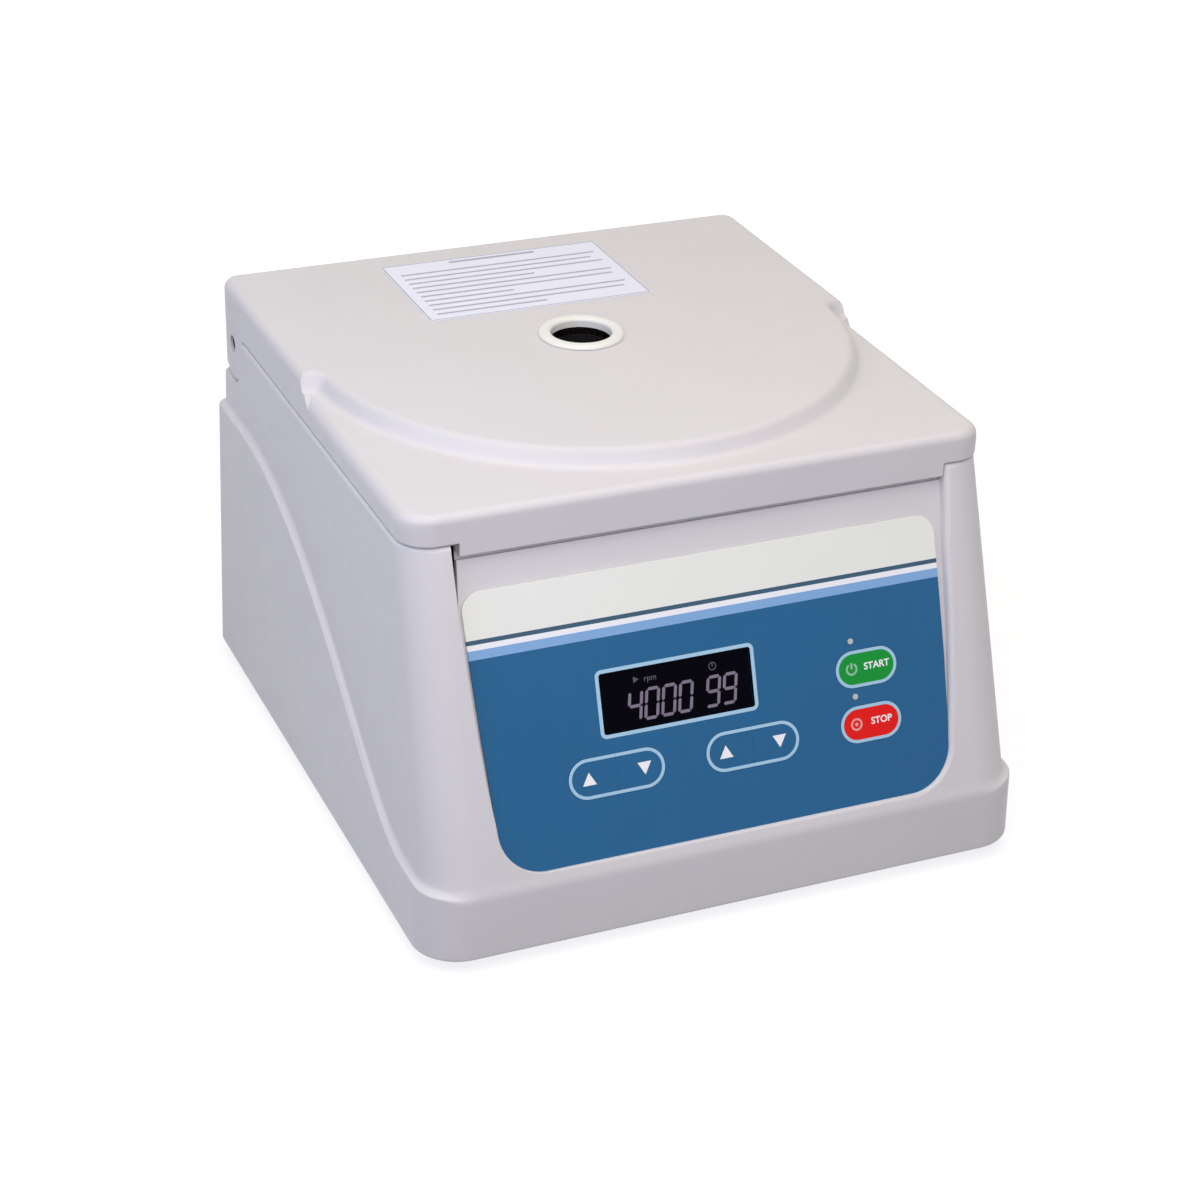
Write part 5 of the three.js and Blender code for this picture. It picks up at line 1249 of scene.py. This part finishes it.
def key_outline(name, place, size, half):
    rim = band(capsule(place, size, -OUTLINE_INSET), capsule(place, size, -OUTLINE_INSET - OUTLINE_WIDTH),
               PAD_TOP, PAD_TOP + INK)
    if half:
        half_only(rim, place, half)
    finished(on_panel(rim), name + "_outline", ink_pale, name, "film_blue")


def pair_key(name, place, half):
    finished(on_panel(key_pad(place, PAIR_SIZE, half)), name + "_pad", film_blue, name, "film_blue", name)
    key_outline(name, place, PAIR_SIZE, half)
    arrow = triangle(place[0] + half * ARROW_REACH, place[1], -half)
    printed([arrow], name + "_arrow", ink_white, name, "film_blue", PAD_TOP)


MARK_RADIUS = 2.9
MARK_WIDTH = 0.9
MARK_REACH = 7.4
MARK_LIFT = 0.2
WORD_REACH = 5.3
WORD_LIFT = 0.4
WORD_HEIGHT = 3.1


def ring_mark(x, v, start, end):
    """An open ring, from start to end in degrees."""
    outer = arc((x, v), MARK_RADIUS, start, end, 36)
    inner = arc((x, v), MARK_RADIUS - MARK_WIDTH, end, start, 36)
    return [*outer, *inner]


def power_mark(x, v):
    """A ring open at its top, with a short bar in the gap."""
    half = MARK_WIDTH / 2
    bar = [(x - half, v), (x + half, v), (x + half, v + MARK_RADIUS), (x - half, v + MARK_RADIUS)]
    return [ring_mark(x, v, 122, 418), bar]


def stop_mark(x, v):
    """A ring round a small square that stands on its corner."""
    half = MARK_RADIUS * 0.36
    return [ring_mark(x, v, 90.5, 449.5), [(x - half, v), (x, v - half), (x + half, v), (x, v + half)]]


def run_key(name, place, word, pad_paint, mark_paint, slot, mark):
    pad = key_pad(place, RUN_SIZE, 0)
    pad.data.materials.clear()
    for material in (film_blue, pad_paint):
        pad.data.materials.append(material)
    for face in pad.data.polygons:
        face.material_index = int(face.normal.z > 0.99)
    finished(on_panel(pad), name + "_pad", None, name, slot, name)
    key_outline(name, place, RUN_SIZE, 0)
    printed(mark(place[0] - MARK_REACH, place[1] + MARK_LIFT), name + "_mark", mark_paint, name, slot, PAD_TOP)
    lettering(word, (place[0] + WORD_REACH, place[1] + WORD_LIFT), WORD_HEIGHT, ink_white, name + "_word", name,
              PAD_TOP, 0.1)


def keys():
    for name, place, _, half in KEYS[:4]:
        pair_key(name, place, half)
    run_key("start_key", START_PLACE, "START", film_green, ink_faded, "film_green", power_mark)
    run_key("stop_key", STOP_PLACE, "STOP", film_red, ink_blush, "film_red", stop_mark)


# Label

LABEL_LOW, LABEL_HIGH = corners("label_plate")
LABEL_RULES = (1, 0.96, 1, 0.62, 1, 0.98, 0.45, 1, 0.97, 0.55)
RULE_PITCH = 5.9
RULE_HALF = 0.75
RULE_MARGIN = 6
TITLE_HALF = (23, 1.1)


def label():
    low, high = LABEL_LOW, LABEL_HIGH
    middle = ((low[0] + high[0]) / 2, (low[1] + high[1]) / 2)
    size = (high[0] - low[0], high[1] - low[1])
    sheet = soft_plate(rectangle(middle, size, 0, 0.6), low[2], high[2] - INK, 0.12)
    finished(sheet, "label_sheet", label_film, "lid", "label", "label_plate")
    top = high[2] - INK
    border = band(rectangle(middle, size, -0.5, 0.3), rectangle(middle, size, -1, 0.2), top, top + INK)
    finished(border, "label_border", label_ink, "lid", "label")
    left, room = low[0] + RULE_MARGIN, size[0] - RULE_MARGIN * 2
    title_y = high[1] - RULE_MARGIN * 0.75

    def rule(x0, x1, y, half):
        return [(x0, y - half), (x1, y - half), (x1, y + half), (x0, y + half)]

    rows = [rule(middle[0] - TITLE_HALF[0], middle[0] + TITLE_HALF[0], title_y, TITLE_HALF[1])]
    for i, share in enumerate(LABEL_RULES):
        rows.append(rule(left, left + room * share, title_y - 10 - i * RULE_PITCH, RULE_HALF))
    finished(plates(rows, top, top + INK), "label_rules", rule_ink, "lid", "label")


# Chamber, rotor and sleeves

SLEEVE_TILT = math.radians(35)
MOUTH_RADIUS = 37
CROWN_RADIUS = 62
CROWN_THICK = 13
HUB_RADIUS = 15
HUB_RISE = 9
HUB_LENGTH = 46
SHAFT_RADIUS = 5
NUT_RADIUS = 9
NUT_HEIGHT = 7
SLEEVE_LENGTH = 80
SLEEVE_RADIUS = 10.5
SLEEVE_WALL = 1.6
COLLAR_RADIUS = 12.6
COLLAR_THICK = 2.5
SLEEVES = 6
BOWL_FLOOR_Z = BOWL_LOW[2] + BOWL_WALL
BOWL_CORNER = 12


def funnel(radius):
    return (radius - MOUTH_RADIUS) * math.tan(SLEEVE_TILT)


HUB_TOP = funnel(HUB_RADIUS) + HUB_RISE
SPINDLE = Matrix.Translation((0, ROTOR_Y * MM, MOUTH_Z * MM))


def chamber():
    low, high = DECK_Z + GAP, DECK_Z + GAP + BOWL_WALL
    bend = (BOWL_RADIUS - BOWL_CORNER, BOWL_FLOOR_Z + BOWL_CORNER)
    rim = BOWL_RADIUS + BOWL_FLANGE
    bowl = turned([
        (BOWL_RADIUS + BOWL_WALL, low), (rim - 0.3, low), (rim, low + 0.4), (rim, high - 0.5), (rim - 0.5, high),
        (BOWL_RADIUS + 1.2, high), (BOWL_RADIUS + 0.35, high - 0.35), (BOWL_RADIUS, high - 1.2),
        *arc(bend, BOWL_CORNER, 0, -90), (9, BOWL_FLOOR_Z), (9, BOWL_FLOOR_Z - BOWL_WALL),
        *arc(bend, BOWL_CORNER + BOWL_WALL, -90, 0),
    ], sides=BOWL_SIDES, at=CENTRE)
    finished(bowl, "chamber_bowl_spun", bowl_steel, "housing", "bowl_steel", "chamber_bowl")
    bottom, top = high + GAP, LINER_Z - GAP
    inner, outer = BOWL_RADIUS + 0.6, rim - 0.6
    seal = turned([
        (inner, bottom), (outer, bottom), (outer, top - 1.1), (outer - 0.6, top - 0.3), (outer - 1.6, top),
        (inner + 1.6, top), (inner + 0.6, top - 0.3), (inner, top - 1.1),
    ], sides=BOWL_SIDES, at=CENTRE)
    finished(seal, "chamber_seal", rubber, "housing", "rubber_black", "chamber_gasket")


def rotor():
    bore = SHAFT_RADIUS + GAP
    thick = CROWN_THICK / math.cos(SLEEVE_TILT)
    top, foot = funnel(CROWN_RADIUS), funnel(CROWN_RADIUS) - thick
    blank = turned([
        (bore, HUB_TOP - HUB_LENGTH), (HUB_RADIUS - 1, HUB_TOP - HUB_LENGTH), (HUB_RADIUS, HUB_TOP - HUB_LENGTH + 1),
        (HUB_RADIUS, funnel(HUB_RADIUS) - thick), (CROWN_RADIUS - 1, foot - 0.7), (CROWN_RADIUS, foot + 0.6),
        (CROWN_RADIUS, top - 0.8), (CROWN_RADIUS - 0.7, top - 0.2), (CROWN_RADIUS - 1.6, top - 1.1),
        (HUB_RADIUS + 1, funnel(HUB_RADIUS) + 0.7), (HUB_RADIUS, funnel(HUB_RADIUS) + 1.5),
        (HUB_RADIUS, HUB_TOP - 0.8), (HUB_RADIUS - 0.8, HUB_TOP), (bore + 0.6, HUB_TOP), (bore, HUB_TOP - 0.6),
    ])
    bores = []
    for i in range(SLEEVES):
        around = 2 * math.pi * i / SLEEVES

        def at(along):
            radius = MOUTH_RADIUS - along * math.sin(SLEEVE_TILT)
            return radius * math.cos(around), radius * math.sin(around), along * math.cos(SLEEVE_TILT)

        seat = rod(COLLAR_RADIUS + GAP, at(0), at(CROWN_THICK), 48)
        bores.append(join(rod(SLEEVE_RADIUS + GAP, at(-CROWN_THICK - OVERRUN), at(CROWN_THICK), 48), seat))
    cut(blank, *bores)
    finished(moved(blank, SPINDLE), "rotor_crown", rotor_alloy, "rotor", "rotor_alloy", "rotor")
    low = corners("rotor_shaft")[0][2] - MOUTH_Z
    end = HUB_TOP + GAP + NUT_HEIGHT + 1.5
    shaft = turned([(0.01, low), (SHAFT_RADIUS - 0.6, low), (SHAFT_RADIUS, low + 0.6), (SHAFT_RADIUS, end - 0.8),
                    (SHAFT_RADIUS - 0.8, end), (0.01, end)], sides=48)
    finished(moved(shaft, SPINDLE), "rotor_spindle", screw_steel, "rotor", "screw_steel", "rotor_shaft")
    nut_z = HUB_TOP + GAP
    nut = plate(circle(0, 0, NUT_RADIUS, 6), nut_z, nut_z + NUT_HEIGHT)
    cone = turned([
        (bore, nut_z), (NUT_RADIUS * 0.9, nut_z), (NUT_RADIUS * 1.03, nut_z + 0.7),
        (NUT_RADIUS * 1.03, nut_z + NUT_HEIGHT - 0.7), (NUT_RADIUS * 0.9, nut_z + NUT_HEIGHT),
        (bore, nut_z + NUT_HEIGHT)])
    combine(nut, "INTERSECT", cone)
    finished(moved(nut, SPINDLE), "rotor_hex_nut", screw_steel, "rotor", "screw_steel", "rotor_nut")


def sleeves():
    bend = SLEEVE_RADIUS - SLEEVE_LENGTH
    bore = SLEEVE_RADIUS - SLEEVE_WALL
    top = GAP + COLLAR_THICK
    profile = [
        *arc((0, bend), SLEEVE_RADIUS, -89.9, 0), (SLEEVE_RADIUS, GAP), (COLLAR_RADIUS - 0.3, GAP),
        (COLLAR_RADIUS, GAP + 0.4), (COLLAR_RADIUS, top - 0.6), (COLLAR_RADIUS - 0.6, top),
        (bore + 0.5, top), (bore, top - 0.5), *arc((0, bend), bore, 0, -89.9),
    ]
    for i in range(SLEEVES):
        name = f"tube_sleeve_{i + 1}"
        sleeve = turned(profile, sides=48)
        arm = Matrix.Rotation(2 * math.pi * i / SLEEVES, 4, "Z")
        tilt = Matrix.Rotation(-SLEEVE_TILT, 4, "Y")
        moved(sleeve, SPINDLE @ arm @ Matrix.Translation((MOUTH_RADIUS * MM, 0, 0)) @ tilt)
        finished(sleeve, name + "_drawn", sleeve_steel, name, "sleeve_steel", name)


# Feet

def feet():
    for i in range(1, 5):
        low, high = corners(f"foot_{i}")
        at = ((low[0] + high[0]) / 2, (low[1] + high[1]) / 2)
        sink, shank = 3.9, 2.3
        foot = turned([
            (sink, 0.3), (sink + 0.3, 0), (10, 0), (10.7, 0.3), (11, 1), (9, high[2] - 0.4), (8.6, high[2]),
            (shank, high[2]), (shank, 4), (sink, 4),
        ], sides=64, at=at)
        finished(foot, f"foot_{i}_moulded", rubber, "housing", "rubber_black", f"foot_{i}")


# Camera, lights and floor

CAMERA_PLACE = (-0.47837, -1.09985, 0.71830)
CAMERA_RIGHT = (0.921794, -0.386969, 0.023465)
CAMERA_UP = (0.162507, 0.440641, 0.882852)
CAMERA_BACK = (-0.351975, -0.809994, 0.469065)
FOCAL_PIXELS = 2776.4
IMAGE_SIZE = 1200
SENSOR = 36


def camera():
    data = bpy.data.cameras.new("camera")
    data.sensor_width = SENSOR
    data.sensor_fit = "HORIZONTAL"
    data.lens = FOCAL_PIXELS / IMAGE_SIZE * SENSOR
    data.clip_start = 0.05
    eye = placed("camera", data)
    columns = Matrix((CAMERA_RIGHT, CAMERA_UP, CAMERA_BACK)).transposed()
    eye.matrix_world = Matrix.Translation(CAMERA_PLACE) @ columns.to_4x4()
    bpy.context.scene.camera = eye


def area_light(name, place, aim, size, power, color):
    data = bpy.data.lights.new(name, "AREA")
    data.shape = "RECTANGLE"
    data.size, data.size_y = size
    data.energy = power
    data.color = color
    lamp = placed(name, data)
    lamp.location = place
    lamp.rotation_euler = (Vector(aim) - Vector(place)).to_track_quat("-Z", "Y").to_euler()


def shown(tree, lighting, direct, output):
    """Lights surfaces with one shader, and shows another to the camera, in mirrors and through glass."""
    path = new_node(tree, "LightPath")
    seen = path.outputs["Is Camera Ray"]
    for ray in ("Is Glossy Ray", "Is Transmission Ray"):
        either = new_node(tree, "Math")
        either.operation = "MAXIMUM"
        tree.links.new(seen, either.inputs[0])
        tree.links.new(path.outputs[ray], either.inputs[1])
        seen = either.outputs[0]
    mix = new_node(tree, "MixShader")
    for source, socket in zip((seen, lighting.outputs[0], direct.outputs[0]), mix.inputs):
        tree.links.new(source, socket)
    tree.links.new(mix.outputs[0], tree.nodes[output].inputs["Surface"])


WORLD_LIGHT = 0.39
WORLD_COLOR = (0.911, 0.905, 1, 1)
FLOOR_COLOR = (0.4, 0.4, 0.4, 1)
# The floor's own glow near the object and far from it, and the distances in metres
FLOOR_GLOW = (0.74, 1)
GLOW_REACH = (0.3, 1.2)


def world():
    sky = bpy.data.worlds.new("studio")
    sky.use_nodes = True
    light = set_inputs(sky.node_tree.nodes["Background"], Color=WORLD_COLOR, Strength=WORLD_LIGHT)
    backdrop = new_node(sky.node_tree, "Background", Color=(1, 1, 1, 1), Strength=1)
    shown(sky.node_tree, light, backdrop, "World Output")
    bpy.context.scene.world = sky


def floor():
    half = 4000
    square = [(-half, -half, 0), (half, -half, 0), (half, half, 0), (-half, half, 0)]
    piece = raw_object(square, [(0, 1, 2, 3)], "floor")
    material = bpy.data.materials.new("pale_floor")
    material.use_nodes = True
    tree = material.node_tree
    shader = set_inputs(tree.nodes["Principled BSDF"], Base_Color=FLOOR_COLOR, Roughness=0.9, Specular_IOR_Level=0)
    glow = new_node(tree, "Emission")
    away = new_node(tree, "VectorMath")
    away.operation = "LENGTH"
    fade = new_node(tree, "MapRange", From_Min=GLOW_REACH[0], From_Max=GLOW_REACH[1],
                    To_Min=FLOOR_GLOW[0], To_Max=FLOOR_GLOW[1])
    lit = new_node(tree, "AddShader")
    place = new_node(tree, "TexCoord").outputs["Object"]
    for source, socket in (
        (place, away.inputs[0]), (away.outputs["Value"], fade.inputs["Value"]),
        (fade.outputs["Result"], glow.inputs["Strength"]),
        (shader.outputs[0], lit.inputs[0]), (glow.outputs[0], lit.inputs[1]),
    ):
        tree.links.new(source, socket)
    shown(tree, shader, lit, "Material Output")
    piece.data.materials.append(material)


def coat(material, *names):
    """Gives carried-over CAD nodes a finish."""
    for name in names:
        for slot in frame["nodes"][name].material_slots:
            slot.material = material


def numbered(name, count):
    return [f"{name}_{i + 1}" for i in range(count)]


camera()
world()
floor()
area_light("overhead", (-0.1, -0.25, 1.1), (-0.02, 0, 0.1), (1.3, 1.3), 7.2, (1, 0.901, 0.717))
area_light("front", (-0.1, -0.6, 0.46), (0.02, -0.11, 0.2), (0.6, 0.3), 1.12, (0.8, 0.8, 1))
area_light("left", (-0.75, -0.15, 0.6), (-0.14, 0, 0.2), (0.6, 0.4), 1.95, (0.56, 0.66, 1))

housing()
lid()
sight_ring()
sight_lens()
panel_film()
display()
keys()
label()
chamber()
rotor()
sleeves()
feet()

coat(zinc_plate, "base_plate", "motor_bracket", "latch_frame", "lid_striker", "latch_bolt")
coat(screw_steel, *numbered("foot_screw", 4), *numbered("liner_screw", 4))
coat(pin_steel, "hinge_pin_left", "hinge_pin_right")
coat(motor_enamel, "motor_housing", "latch_solenoid")
coat(rubber, *numbered("damper", 3))
coat(liner_plastic, "lid_liner")
coat(circuit, "control_board", "power_board")
coat(black_plastic, "lcd_module", "lid_switch", "power_inlet", "switch_bezel", "power_rocker")
coat(led_lens, "start_led", "stop_led")

bpy.context.scene.view_settings.view_transform = "Standard"
